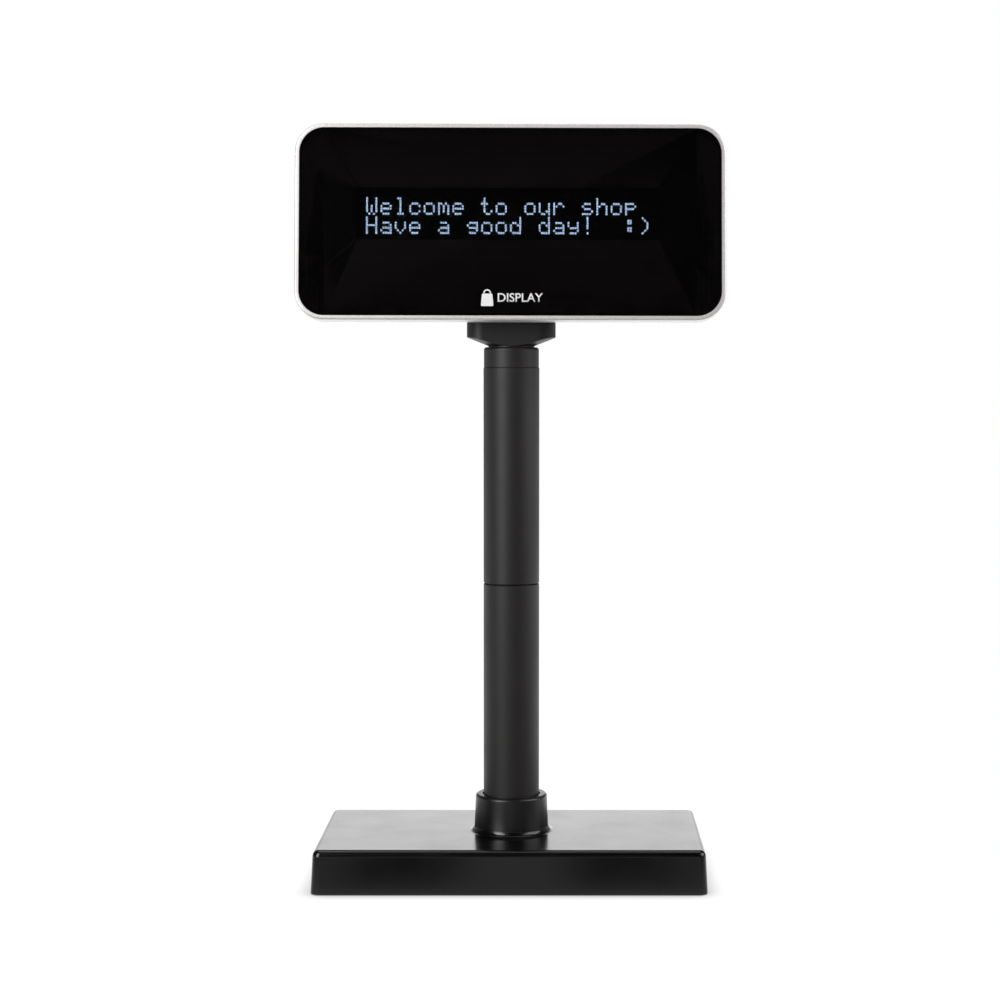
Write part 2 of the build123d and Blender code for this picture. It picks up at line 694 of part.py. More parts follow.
def bezel_frame():
    """The silver front frame: a rounded rim with a ledge behind the lens."""
    back = FACE + BEZEL_DEPTH
    frame = panel(HEAD_WIDTH, HEAD_HEIGHT, HEAD_CORNER, FACE, back)
    frame = fillet(frame.faces().sort_by(Axis.Y)[0].edges(), BEZEL_ROUND)
    corner = HEAD_CORNER - BEZEL_WALL
    ledge_front = depth_stack()[3]
    frame -= panel(lens_width(), lens_height(), corner, FACE - OVERCUT, ledge_front)
    frame -= panel(lens_width(), lens_height(), corner, ledge_front + LEDGE_THICK, back + OVERCUT)
    frame -= panel(LEDGE_OPENING_WIDTH, LEDGE_OPENING_HEIGHT, LEDGE_OPENING_CORNER, FACE, back)
    places = head_places(COVER_SCREW_HIGH, COVER_SCREW_LOW)
    root = ledge_front + LEDGE_THICK / 2
    for x, z in places:
        frame += peg(HEAD_BOSS, root, BOSS_MEET, x, z)
        frame -= peg(PILOT, ledge_front + LEDGE_THICK, BOSS_MEET + OVERCUT, x, z)
    for x, z in board_places():
        frame += peg(BOARD_POST, root, PCB_FRONT, x, z)
        frame -= peg(PILOT, ledge_front + LEDGE_THICK, PCB_FRONT + OVERCUT, x, z)
    return frame


def front_lens():
    """The smoked lens, its front edge lightly broken."""
    front, back = depth_stack()[:2]
    corner = HEAD_CORNER - BEZEL_WALL - LENS_GAP
    lens = panel(lens_width() - 2 * LENS_GAP, lens_height() - 2 * LENS_GAP, corner, front, back)
    return chamfer(lens.faces().sort_by(Axis.Y)[0].edges(), LENS_EDGE)


def lens_mask():
    """The black print behind the lens, with a clear window."""
    front, back = depth_stack()[1:3]
    corner = HEAD_CORNER - BEZEL_WALL - LENS_GAP
    mask = panel(lens_width() - 2 * LENS_GAP, lens_height() - 2 * LENS_GAP, corner, front, back)
    window = panel(WINDOW_WIDTH, WINDOW_HEIGHT, WINDOW_CORNER, front - OVERCUT, back + OVERCUT,
                   MODULE_X, MODULE_Z)
    return mask - window


def lens_gasket():
    """The foam ring between the print and the ledge."""
    front, back = depth_stack()[2:4]
    corner = HEAD_CORNER - BEZEL_WALL - LENS_GAP
    width = lens_width() - 2 * LENS_GAP
    height = lens_height() - 2 * LENS_GAP
    ring = panel(width, height, corner, front, back)
    inner = panel(width - 2 * GASKET_WIDTH, height - 2 * GASKET_WIDTH, corner - GASKET_WIDTH,
                  front - OVERCUT, back + OVERCUT)
    return ring - inner


def cover_form(inset, front):
    """The back housing as a closed form, smaller all round by an inset."""
    width = HEAD_WIDTH - 2 * (COVER_INSET + inset)
    height = HEAD_HEIGHT - 2 * (COVER_INSET + inset)
    corner = HEAD_CORNER - COVER_INSET - inset
    form = panel(width, height, corner, front, COVER_BACK - inset, draft=COVER_DRAFT)
    form = fillet(form.faces().sort_by(Axis.Y)[-1].edges(), COVER_BACK_EDGE - inset)
    start = SLOPE_START
    low = SLOPE_LOW + inset / cos(radians(SLOPE_ANGLE))
    reach = 3 * COVER_BACK
    side = [(start - reach, low - reach * tan(radians(SLOPE_ANGLE))),
            (start + reach, low + reach * tan(radians(SLOPE_ANGLE))), (start + reach, low - reach)]
    wedge = extrude(make_face(Plane.YZ * Polyline(*side, close=True)), HEAD_WIDTH, both=True)
    return form - wedge


def rear_cover():
    """The black back housing: its underside slopes up so that it clears the neck when it leans back."""
    front = FACE + BEZEL_DEPTH
    cover = cover_form(0, front) - cover_form(COVER_WALL, front - TINY)
    cover_back = COVER_BACK - COVER_WALL / 2
    limits = cover_form(COVER_WALL / 2, front - TINY)
    for x, z in head_places(COVER_SCREW_HIGH, COVER_SCREW_LOW):
        cover += peg(HEAD_BOSS + SCREW_WELL_WALL, BOSS_MEET, cover_back, x, z) & limits
        cover -= peg(SMALL_HEAD + SCREW_WELL_GAP, COVER_SEAT, COVER_BACK + OVERCUT, x, z)
        cover -= peg(SMALL_SCREW + PLATE_GAP, BOSS_MEET - OVERCUT, COVER_BACK, x, z)
    for x, z in bracket_places():
        cover += peg(SCREW_BOSS, BRACKET_FRONT + BRACKET_THICK, cover_back, x, z)
        cover -= peg(PILOT, BRACKET_FRONT, COVER_BACK - COVER_WALL, x, z)
    slot = block((-SLOT_HALF_WIDTH, SLOT_HALF_WIDTH), (SLOT_FRONT, SLOT_BACK), (2 * SLOPE_LOW, 0))
    slot = fillet(slot.edges().filter_by(Axis.Z), SLOT_CORNER)
    return cover - slot


def cover_screws():
    """Four screws at the back that hold the housing to the frame."""
    one = Rot(90, 0, 0) * small_screw(COVER_SCREW_LENGTH)
    return group([Pos(x, COVER_SEAT, z) * one for x, z in head_places(COVER_SCREW_HIGH, COVER_SCREW_LOW)])


# ---------------------------------------------------------------- display module


def module_panel(width, height, corner, front, thick):
    """A panel centred on the display module."""
    return panel(width, height, corner, front, front + thick, MODULE_X, MODULE_Z)


def vfd_front_glass():
    """The front glass of the display tube."""
    return module_panel(GLASS_WIDTH, GLASS_HEIGHT, FLAT_CORNER, GLASS_FRONT, GLASS_THICK)


def vfd_side_walls():
    """The glass frame that seals the display tube round its edge."""
    front = GLASS_FRONT + GLASS_THICK
    frame = module_panel(GLASS_WIDTH, GLASS_HEIGHT, FLAT_CORNER, front, GLASS_SPACE)
    inner = module_panel(GLASS_WIDTH - 2 * GLASS_SEAL, GLASS_HEIGHT - 2 * GLASS_SEAL, FLAT_CORNER,
                         front - OVERCUT, GLASS_SPACE + 2 * OVERCUT)
    return frame - inner


def vfd_back_glass():
    """The back glass of the display tube."""
    front = GLASS_FRONT + GLASS_THICK + GLASS_SPACE
    return module_panel(GLASS_WIDTH, GLASS_HEIGHT, FLAT_CORNER, front, GLASS_THICK)


def vfd_anodes():
    """One printed anode field for each character of the two lines."""
    back = GLASS_FRONT + GLASS_THICK + GLASS_SPACE
    fields = []
    for row in range(ROWS):
        z = MODULE_Z + (row - (ROWS - 1) / 2) * ROW_PITCH
        for column in range(COLUMNS):
            x = MODULE_X + (column - (COLUMNS - 1) / 2) * COLUMN_PITCH
            half = CHARACTER_WIDTH / 2
            tall = CHARACTER_HEIGHT / 2
            fields.append(block((x - half, x + half), (back - ANODE_THICK, back), (z - tall, z + tall)))
    return group(fields)


def vfd_leads():
    """The tube's wire leads, from the back glass to the board, in a row below and a row above."""
    front = GLASS_FRONT + GLASS_THICK + GLASS_SPACE + GLASS_THICK
    leads = []
    for z in (MODULE_Z - GLASS_HEIGHT / 2 + LEAD_INSET, MODULE_Z + GLASS_HEIGHT / 2 - LEAD_INSET):
        for index in range(LEAD_COUNT):
            x = MODULE_X + (index - (LEAD_COUNT - 1) / 2) * LEAD_PITCH
            leads.append(peg(LEAD_RADIUS, front, PCB_FRONT, x, z))
    return group(leads)


def foam_pads():
    """Two pads between the display tube and its board."""
    front = GLASS_FRONT + 2 * GLASS_THICK + GLASS_SPACE
    pads = []
    for side in (-1, 1):
        middle = MODULE_X + side * PAD_X
        pads.append(panel(PAD_WIDTH, PAD_HEIGHT, FLAT_CORNER, front, PCB_FRONT, middle, MODULE_Z))
    return group(pads)


def board_places():
    """Places of the driver board's four screws."""
    return [(MODULE_X + x, MODULE_Z + z) for x, z in corners(PCB_SCREW_X, PCB_SCREW_Z)]


def driver_board():
    """The board behind the display tube."""
    board = module_panel(PCB_WIDTH, PCB_HEIGHT, FLAT_CORNER, PCB_FRONT, BOARD_THICK)
    for x, z in board_places():
        board -= peg(SMALL_SCREW + PLATE_GAP, PCB_FRONT - OVERCUT, PCB_FRONT + BOARD_THICK + OVERCUT, x, z)
    return board


def board_screws():
    """Four screws that hold the driver board to the frame's posts."""
    one = Pos(0, PCB_FRONT + BOARD_THICK, 0) * Rot(90, 0, 0) * small_screw(PCB_SCREW_LENGTH)
    return group([Pos(x, 0, z) * one for x, z in board_places()])


def driver_chips():
    """Four flat driver chips on the board's back."""
    back = PCB_FRONT + BOARD_THICK
    chips = []
    for x, z in CHIP_PLACES:
        half = CHIP_SIZE / 2
        chip = block((x - half, x + half), (back, back + CHIP_THICK), (z - half, z + half))
        chips.append(chamfer(chip.faces().sort_by(Axis.Y)[-1].edges(), CHIP_EDGE))
    return group(chips)


def capacitors():
    """Three upright cans on the board's back."""
    back = PCB_FRONT + BOARD_THICK
    cans = []
    for x, z in CAPACITOR_PLACES:
        can = peg(CAPACITOR_RADIUS, back, back + CAPACITOR_HEIGHT, x, z)
        cans.append(fillet(can.edges().sort_by(Axis.Y)[-1], CAPACITOR_EDGE))
    return group(cans)


def power_coil():
    """The drum-wound coil of the tube's step-up supply."""
    back = PCB_FRONT + BOARD_THICK
    drum = peg(COIL_RADIUS, back, back + COIL_HEIGHT, *COIL_PLACE)
    waist = peg(COIL_RADIUS, back + COIL_RIM, back + COIL_HEIGHT - COIL_RIM, *COIL_PLACE)
    core = peg(COIL_WAIST, back, back + COIL_HEIGHT, *COIL_PLACE)
    return drum - (waist - core)


def cable_header():
    """The socket on the driver board that the signal cable plugs into."""
    back = PCB_FRONT + BOARD_THICK
    half = HEADER_HALF_WIDTH
    return block((-half, half), (back, back + HEADER_DEPTH), (HEADER_LOW, HEADER_HIGH))


def head_cable():
    """From the tilt axis up to the header on the driver board."""
    route = FilletPolyline((0, 0, CABLE_BALL), (0, 0, CABLE_BALL + CABLE_HEAD_BEND),
                           (0, -CABLE_OFFSET, HEADER_LOW - CABLE_HEAD_BEND / 2),
                           (0, -CABLE_OFFSET, HEADER_LOW), radius=CABLE_HEAD_BEND)
    section = Plane(route @ 0, z_dir=route % 0) * Circle(CABLE_RADIUS)
    return sweep(section, path=route) + Pos(0, 0, CABLE_BALL) * Sphere(CABLE_RADIUS)


# ---------------------------------------------------------------- tilt hinge


def washer_outside():
    """How far out the tilt washers reach from the middle."""
    return EAR_OUTSIDE + PIN_FIT + WASHER_THICK


def bracket_places():
    """Places of the tilt bracket's four screws."""
    heights = (BRACKET_SCREW_LOW, BRACKET_SCREW_HIGH)
    return [(side * BRACKET_SCREW_X, z) for side in (-1, 1) for z in heights]


def tilt_bracket():
    """A folded steel bracket: a plate on the housing's bosses and an ear on each side of the neck."""
    back = BRACKET_FRONT + BRACKET_THICK
    bracket = block(centred(0, BRACKET_WIDTH), (BRACKET_FRONT, back), (BRACKET_LOW, BRACKET_HIGH))
    inner = washer_outside()
    outer = inner + BRACKET_THICK
    radius = BRACKET_EAR_RADIUS
    side = [(0, -radius), (BRACKET_FRONT + TINY, BRACKET_LOW), (BRACKET_FRONT + TINY, BRACKET_HIGH),
            (BRACKET_FRONT - 2, BRACKET_HIGH), (-radius, radius), (-radius, 0)]
    web = extrude(make_face(Plane.YZ * Polyline(*side, close=True)), outer - inner)
    ear = Pos(inner, 0, 0) * web + axle(radius, inner, outer)
    ear -= axle(PIN_RADIUS, inner - OVERCUT, outer + OVERCUT)
    for one in both_sides(ear):
        bracket += one
    for x, z in bracket_places():
        bracket -= peg(SMALL_SCREW + PLATE_GAP, BRACKET_FRONT - OVERCUT, back + OVERCUT, x, z)
    return bracket


def bracket_screws():
    """Four screws that hold the bracket to the housing."""
    one = Rot(-90, 0, 0) * small_screw(BRACKET_SCREW_LENGTH)
    return group([Pos(x, BRACKET_FRONT, z) * one for x, z in bracket_places()])


def tilt_screws():
    """One shoulder screw on each side, its head against the inside of the neck's ear."""
    seat = EAR_INSIDE - PIN_FIT
    length = washer_outside() + BRACKET_THICK + NUT_HEIGHT + THREAD_BEYOND_NUT - seat
    one = Pos(seat, 0, 0) * Rot(0, 90, 0) * screw(PIN_RADIUS, length, TILT_HEAD_RADIUS, TILT_HEAD_HEIGHT)
    return group(both_sides(one))


def tilt_washers():
    """A washer between neck ear and bracket on each side."""
    inner = EAR_OUTSIDE + PIN_FIT
    outer = washer_outside()
    one = axle(WASHER_RADIUS, inner, outer) - axle(PIN_RADIUS, inner - OVERCUT, outer + OVERCUT)
    return group(both_sides(one))


def tilt_nuts():
    """A nut on each shoulder screw."""
    inner = washer_outside() + BRACKET_THICK
    hexagon = extrude(RegularPolygon(NUT_WIDTH / 2, 6, major_radius=False), NUT_HEIGHT)
    bore = axle(PIN_RADIUS, inner - OVERCUT, inner + NUT_HEIGHT + OVERCUT)
    one = Pos(inner, 0, 0) * Rot(0, 90, 0) * hexagon - bore
    return group(both_sides(one))


STAND = [base_cover, base_plate, base_screws, rubber_feet, ballast_plate, ballast_screws, interface_board,
         interface_screws, data_socket, socket_contacts, power_jack, power_pin, interface_header,
         pole_flange, flange_screws, lower_tube, upper_tube, tube_coupler, pole_top_collar, thrust_washer,
         signal_cable, swivel_neck, wave_washer, swivel_clip, neck_cable]
HEAD = [bezel_frame, front_lens, lens_mask, lens_gasket, rear_cover, cover_screws, vfd_front_glass,
        vfd_side_walls, vfd_back_glass, vfd_anodes, vfd_leads, foam_pads, driver_board, board_screws,
        driver_chips, capacitors, power_coil, cable_header, head_cable, tilt_bracket, bracket_screws,
        tilt_screws, tilt_washers, tilt_nuts]

os.makedirs("parts", exist_ok=True)
lean_back = Pos(0, 0, PIVOT_HEIGHT) * Rot(-REST_TILT, 0, 0)
for make in STAND:
    export_step(make(), f"parts/{make.__name__}.step")
for make in HEAD:
    export_step(lean_back * make(), f"parts/{make.__name__}.step")
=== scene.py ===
import json
import logging
import math
from dataclasses import dataclass
from enum import Enum
from typing import Any, Iterable, Sequence

import bmesh
import bpy
from mathutils import Matrix, Vector


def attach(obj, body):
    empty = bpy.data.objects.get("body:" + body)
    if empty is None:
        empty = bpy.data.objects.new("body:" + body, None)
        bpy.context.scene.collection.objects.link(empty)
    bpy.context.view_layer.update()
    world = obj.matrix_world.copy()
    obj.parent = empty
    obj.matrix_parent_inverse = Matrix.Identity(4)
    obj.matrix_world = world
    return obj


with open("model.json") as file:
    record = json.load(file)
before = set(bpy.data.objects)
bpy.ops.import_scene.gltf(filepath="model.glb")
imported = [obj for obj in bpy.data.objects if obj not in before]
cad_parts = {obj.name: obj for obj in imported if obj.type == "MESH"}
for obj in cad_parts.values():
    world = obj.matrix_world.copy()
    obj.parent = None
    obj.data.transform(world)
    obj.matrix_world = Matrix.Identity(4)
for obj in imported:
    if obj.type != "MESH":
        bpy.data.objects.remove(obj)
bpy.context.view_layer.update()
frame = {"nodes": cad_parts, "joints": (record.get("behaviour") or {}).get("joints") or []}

LOG = logging.getLogger("pole_display")
MM = 0.001
REST_TILT = math.radians(6.0)
# Refractive indices.
ABS_IOR = 1.52
ACRYLIC_IOR = 1.49
GLASS_IOR = 1.52
# Where most of a noise pattern's values lie.
NOISE_SPAN = (0.3, 0.7)
# What a wave pattern multiplies its place by.
WAVE_FACTOR = 20.0
# The dots of one character.
DOT_COLUMNS = 5
DOT_ROWS = 7


class Body(Enum):
    """The rigid bodies that a piece can ride on."""

    STAND = "stand"
    SWIVEL = "swivel"
    HEAD = "head"


class Slot(Enum):
    """A material slot name from the record, which nothing in this script reads."""

    PHOSPHOR = "phosphor"


class Row(Enum):
    """The display's two lines of characters."""

    UPPER = 1
    LOWER = 2


# ---------------------------------------------------------------- helpers


def linear(code: str) -> tuple[float, float, float, float]:
    """Turns an sRGB hex colour into linear values.

    Args:
        code: the colour, such as "#1a1817".

    Returns:
        Red, green and blue, linear, and an alpha of one.
    """
    parts = [int(code[i:i + 2], 16) / 255.0 for i in (1, 3, 5)]
    red, green, blue = (c / 12.92 if c <= 0.04045 else ((c + 0.055) / 1.055) ** 2.4 for c in parts)
    return red, green, blue, 1.0


def per_metre(size_mm: float) -> float:
    """Returns the texture scale whose features are size_mm wide."""
    return 1.0 / (size_mm * MM)


def around(middle: float, spread: float) -> tuple[float, float]:
    """Returns the span that reaches spread to each side of middle."""
    return middle - spread, middle + spread


def add_node(tree: bpy.types.NodeTree, kind: str, settings: dict[str, Any] | None = None,
             inputs: dict[Any, Any] | None = None) -> bpy.types.Node:
    """Adds one node with its settings and links.

    Args:
        tree: the node tree that takes it.
        kind: the node's type name.
        settings: attributes to set on the node.
        inputs: socket name or number to a value, or to the output socket that feeds it.

    Returns:
        The new node.
    """
    node = tree.nodes.new(kind)
    for name, value in (settings or {}).items():
        setattr(node, name, value)
    for key, value in (inputs or {}).items():
        if isinstance(value, bpy.types.NodeSocket):
            tree.links.new(value, node.inputs[key])
        else:
            node.inputs[key].default_value = value
    return node


def maths(tree: bpy.types.NodeTree, operation: str,
          *values: bpy.types.NodeSocket | float) -> bpy.types.NodeSocket:
    """Adds one maths node.

    Args:
        tree: the node tree.
        operation: the node's operation.
        values: its numbers, or the output sockets that feed it.

    Returns:
        The output socket that holds the result.
    """
    node = add_node(tree, "ShaderNodeMath", {"operation": operation}, dict(enumerate(values)))
    return node.outputs["Value"]


def remap(tree: bpy.types.NodeTree, value: bpy.types.NodeSocket, span: tuple[float, float] = (0.0, 1.0),
          levels: tuple[float, float] = (0.0, 1.0), smooth: bool = False) -> bpy.types.NodeSocket:
    """Turns a span of values into a span of levels.

    Args:
        tree: the node tree.
        value: what runs along the span.
        span: where the change starts and ends.
        levels: the level up to the start and past the end.
        smooth: True to ease in and out.

    Returns:
        The output socket that holds the level.
    """
    kind = "SMOOTHSTEP" if smooth else "LINEAR"
    node = add_node(tree, "ShaderNodeMapRange", {"interpolation_type": kind}, {
        "Value": value, "From Min": span[0], "From Max": span[1], "To Min": levels[0], "To Max": levels[1]})
    return node.outputs["Result"]


def noise(tree: bpy.types.NodeTree, place: bpy.types.NodeSocket, size_mm: float, detail: float,
          roughness: float = 0.5) -> bpy.types.NodeSocket:
    """Adds a cloudy pattern.

    Args:
        tree: the node tree.
        place: the coordinates.
        size_mm: how wide its patches are.
        detail: how many finer layers it has.
        roughness: how strong those are.

    Returns:
        The output socket that holds its level.
    """
    node = add_node(tree, "ShaderNodeTexNoise", inputs={
        "Vector": place, "Scale": per_metre(size_mm), "Detail": detail, "Roughness": roughness})
    return node.outputs["Fac"]


def relief(tree: bpy.types.NodeTree, height: bpy.types.NodeSocket, depth_mm: float,
           below: bpy.types.NodeSocket | None = None) -> bpy.types.NodeSocket:
    """Raises a pattern on the surface.

    Args:
        tree: the node tree.
        height: the pattern.
        depth_mm: how far it rises from 0 to 1.
        below: the relief that it lies on.

    Returns:
        The output socket that holds the normal.
    """
    inputs = {"Height": height, "Strength": 1.0, "Distance": depth_mm * MM}
    if below:
        inputs["Normal"] = below
    return add_node(tree, "ShaderNodeBump", inputs=inputs).outputs["Normal"]


def blend(tree: bpy.types.NodeTree, share: bpy.types.NodeSocket, first: str,
          second: str) -> bpy.types.NodeSocket:
    """Mixes two hex colours.

    Args:
        tree: the node tree.
        share: how much of the second there is.
        first: the first colour.
        second: the second colour.

    Returns:
        The output socket that holds the colour.
    """
    node = add_node(tree, "ShaderNodeMix", {"data_type": "RGBA"}, {
        0: share, 6: linear(first), 7: linear(second)})
    return node.outputs[2]


def blank_material(name: str) -> tuple[bpy.types.Material, bpy.types.NodeTree, bpy.types.Node]:
    """Makes a material that holds only a Principled shader.

    Args:
        name: the material's name.

    Returns:
        The material, its node tree and its Principled node.
    """
    material = bpy.data.materials.new(name)
    material.use_nodes = True
    tree = material.node_tree
    tree.nodes.clear()
    shader = add_node(tree, "ShaderNodeBsdfPrincipled")
    add_node(tree, "ShaderNodeOutputMaterial", inputs={"Surface": shader.outputs["BSDF"]})
    return material, tree, shader


def object_place(tree: bpy.types.NodeTree, turn: float = 0.0) -> bpy.types.NodeSocket:
    """Returns object coordinates in metres, turned.

    Args:
        tree: the node tree.
        turn: rotation about X, in radians.

    Returns:
        The output socket that holds the place.
    """
    place = add_node(tree, "ShaderNodeTexCoord").outputs["Object"]
    mapped = add_node(tree, "ShaderNodeMapping", inputs={"Vector": place, "Rotation": (turn, 0.0, 0.0)})
    return mapped.outputs["Vector"]


def add_ramp(tree: bpy.types.NodeTree, value: bpy.types.NodeSocket,
             stops: Sequence[tuple[float, float]]) -> bpy.types.NodeSocket:
    """Maps a length to a level through a list of stops.

    Args:
        tree: the node tree.
        value: the length, in metres.
        stops: pairs of a length in millimetres and its level, in rising order.

    Returns:
        The output socket that holds the level.
    """
    first, last = stops[0][0] * MM, stops[-1][0] * MM
    share = remap(tree, value, span=(first, last))
    ramp = add_node(tree, "ShaderNodeValToRGB", inputs={"Fac": share})
    ramp.color_ramp.interpolation = "EASE"
    highest = max(level for _, level in stops)
    marks = ramp.color_ramp.elements
    while len(marks) < len(stops):
        marks.new(0.5)
    for mark, (length, level) in zip(marks, stops):
        mark.position = (length * MM - first) / (last - first)
        mark.color = (level / highest,) * 3 + (1.0,)
    return maths(tree, "MULTIPLY", ramp.outputs["Color"], highest)


def new_piece(name: str, form: bmesh.types.BMesh, body: Body, material: bpy.types.Material,
              smooth: bool = False) -> bpy.types.Object:
    """Turns a bmesh into a finished piece that rides on a body.

    Args:
        name: the piece's name.
        form: its shape in the row frame, in metres.
        body: the body it rides on.
        material: its finish.
        smooth: True to shade it smooth.

    Returns:
        The new object.
    """
    bmesh.ops.recalc_face_normals(form, faces=form.faces)
    mesh = bpy.data.meshes.new(name)
    form.to_mesh(mesh)
    form.free()
    mesh.materials.append(material)
    if smooth:
        mesh.shade_smooth()
    piece = bpy.data.objects.new(name, mesh)
    bpy.context.scene.collection.objects.link(piece)
    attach(piece, body.value)
    LOG.info("built %s on %s, %d faces", name, body.value, len(mesh.polygons))
    return piece


def dress(nodes: Iterable[str], material: bpy.types.Material) -> None:
    """Gives CAD nodes a finish.

    Args:
        nodes: the nodes' names.
        material: the finish for all their slots.
    """
    for name in nodes:
        node = frame["nodes"][name]
        for place in node.material_slots:
            place.material = material
        LOG.info("dressed %s in %s", name, material.name)


class HeadSpace:
    """The head's own space: upright about the tilt pivot, before it leans back."""

    def __init__(self) -> None:
        """Reads the pivot from the tilt joint."""
        tilt = next(joint for joint in frame["joints"] if joint["name"] == "tilt")
        self.matrix = Matrix.Translation(tilt["pos_m"]) @ Matrix.Rotation(-REST_TILT, 4, "X")
        self.inverse = self.matrix.inverted()

    def box(self, node: str) -> tuple[Vector, Vector]:
        """Finds a CAD node's limits in the head's own space.

        Args:
            node: the node's name.

        Returns:
            Its lowest and highest corners, in metres.
        """
        points = [self.inverse @ vertex.co for vertex in frame["nodes"][node].data.vertices]
        low = Vector([min(p[i] for p in points) for i in range(3)])
        high = Vector([max(p[i] for p in points) for i in range(3)])
        return low, high


# ---------------------------------------------------------------- finishes


@dataclass(frozen=True)
class MouldedPlastic:
    """Black ABS from a mould or die: a soft sheen over a fine spark-eroded grain.

    The grain breaks up the highlights, and wide faint patches keep long surfaces from looking computed.
    The real grain is about 0.05 mm, too fine to show, so it is drawn coarser and shallower.
    """

    name: str
    colour: str
    patch_colour: str
    roughness: float
    roughness_spread: float
    grain_mm: float
    grain_depth_mm: float
    wave_mm: float
    wave_depth_mm: float
    coarse_above_mm: float = 0.0
    coarse_fade_mm: float = 2.0
    coarse_extra: float = 0.0

    def make(self) -> bpy.types.Material:
        """Makes the finish.

        Returns:
            The finished material.
        """
        material, tree, shader = blank_material(self.name)
        place = object_place(tree)
        patch = noise(tree, place, self.wave_mm, 3.0, 0.55)
        tint = blend(tree, patch, self.colour, self.patch_colour)
        rough = remap(tree, patch, NOISE_SPAN, around(self.roughness, self.roughness_spread))
        grain = noise(tree, place, self.grain_mm, 2.0)
        waves = relief(tree, patch, self.wave_depth_mm)
        bump = relief(tree, grain, self.grain_depth_mm, waves)
        tree.links.new(tint, shader.inputs["Base Color"])
        tree.links.new(self.coarser(tree, place, rough), shader.inputs["Roughness"])
        tree.links.new(bump, shader.inputs["Normal"])
        shader.inputs["IOR"].default_value = ABS_IOR
        return material

    def coarser(self, tree: bpy.types.NodeTree, place: bpy.types.NodeSocket,
                rough: bpy.types.NodeSocket) -> bpy.types.NodeSocket:
        """Adds the coarser grain that the mould has above a certain height.

        Args:
            tree: the material's node tree.
            place: the object coordinates.
            rough: the roughness so far.

        Returns:
            The roughness to link.
        """
        if not self.coarse_extra:
            return rough
        axes = add_node(tree, "ShaderNodeSeparateXYZ", inputs={"Vector": place})
        top_mm = self.coarse_above_mm + self.coarse_fade_mm
        above = remap(tree, axes.outputs["Z"], span=(self.coarse_above_mm * MM, top_mm * MM),
                      levels=(0.0, self.coarse_extra))
        return maths(tree, "ADD", rough, above)


@dataclass(frozen=True)
class SilverPaint:
    """Sprayed silver lacquer on a moulded frame: aluminium flake that sparkles, over a slight orange peel.

    The real flakes are about 0.02 mm, too fine to show, so they are drawn coarser.
    """

    name: str = "silver_lacquer"
    colour: str = "#dad6d5"
    flake_colour: str = "#f4f1f0"
    roughness: float = 0.42
    roughness_spread: float = 0.05
    metallic: float = 0.55
    flake_mm: float = 0.35
    peel_mm: float = 2.2
    peel_depth_mm: float = 0.006

    def make(self) -> bpy.types.Material:
        """Makes the finish.

        Returns:
            The finished material.
        """
        material, tree, shader = blank_material(self.name)
        place = object_place(tree)
        flakes = add_node(tree, "ShaderNodeTexVoronoi", inputs={
            "Vector": place, "Scale": per_metre(self.flake_mm), "Randomness": 1.0})
        light = add_node(tree, "ShaderNodeSeparateColor", inputs={"Color": flakes.outputs["Color"]})
        tint = blend(tree, light.outputs["Red"], self.colour, self.flake_colour)
        rough = remap(tree, light.outputs["Green"],
                      levels=around(self.roughness, self.roughness_spread))
        peel = noise(tree, place, self.peel_mm, 1.0)
        bump = relief(tree, peel, self.peel_depth_mm)
        tree.links.new(tint, shader.inputs["Base Color"])
        tree.links.new(rough, shader.inputs["Roughness"])
        tree.links.new(bump, shader.inputs["Normal"])
        shader.inputs["Metallic"].default_value = self.metallic
        return material


@dataclass(frozen=True)
class SmokedAcrylic:
    """Cast smoked acrylic, polished: a mirror-like sheet, dark enough that only lit characters show.

    Wide faint smudges soften its reflections here and there.
    """

    name: str = "smoked_acrylic"
    colour: str = "#8f8688"
    roughness: float = 0.035
    smudged_times: float = 2.2
    smudge_mm: float = 34.0
    smudge_span: tuple[float, float] = (0.35, 0.75)

    def make(self) -> bpy.types.Material:
        """Makes the finish.

        Returns:
            The finished material.
        """
        material, tree, shader = blank_material(self.name)
        place = object_place(tree)
        smudges = noise(tree, place, self.smudge_mm, 4.0, 0.6)
        rough = remap(tree, smudges, span=self.smudge_span,
                      levels=(self.roughness, self.roughness * self.smudged_times))
        tree.links.new(rough, shader.inputs["Roughness"])
        shader.inputs["Base Color"].default_value = linear(self.colour)
        shader.inputs["Transmission Weight"].default_value = 1.0
        shader.inputs["IOR"].default_value = ACRYLIC_IOR
        return material


@dataclass(frozen=True)
class ClearGlass:
    """Drawn soda-lime glass: clear, with a faint green cast and slow waviness."""

    name: str = "tube_soda_glass"
    colour: str = "#eaf3ef"
    roughness: float = 0.02
    wave_mm: float = 18.0
    wave_depth_mm: float = 0.01

    def make(self) -> bpy.types.Material:
        """Makes the finish.

        Returns:
            The finished material.
        """
        material, tree, shader = blank_material(self.name)
        waves = noise(tree, object_place(tree), self.wave_mm, 0.0)
        bump = relief(tree, waves, self.wave_depth_mm)
        tree.links.new(bump, shader.inputs["Normal"])
        shader.inputs["Base Color"].default_value = linear(self.colour)
        shader.inputs["Roughness"].default_value = self.roughness
        shader.inputs["Transmission Weight"].default_value = 1.0
        shader.inputs["IOR"].default_value = GLASS_IOR
        return material


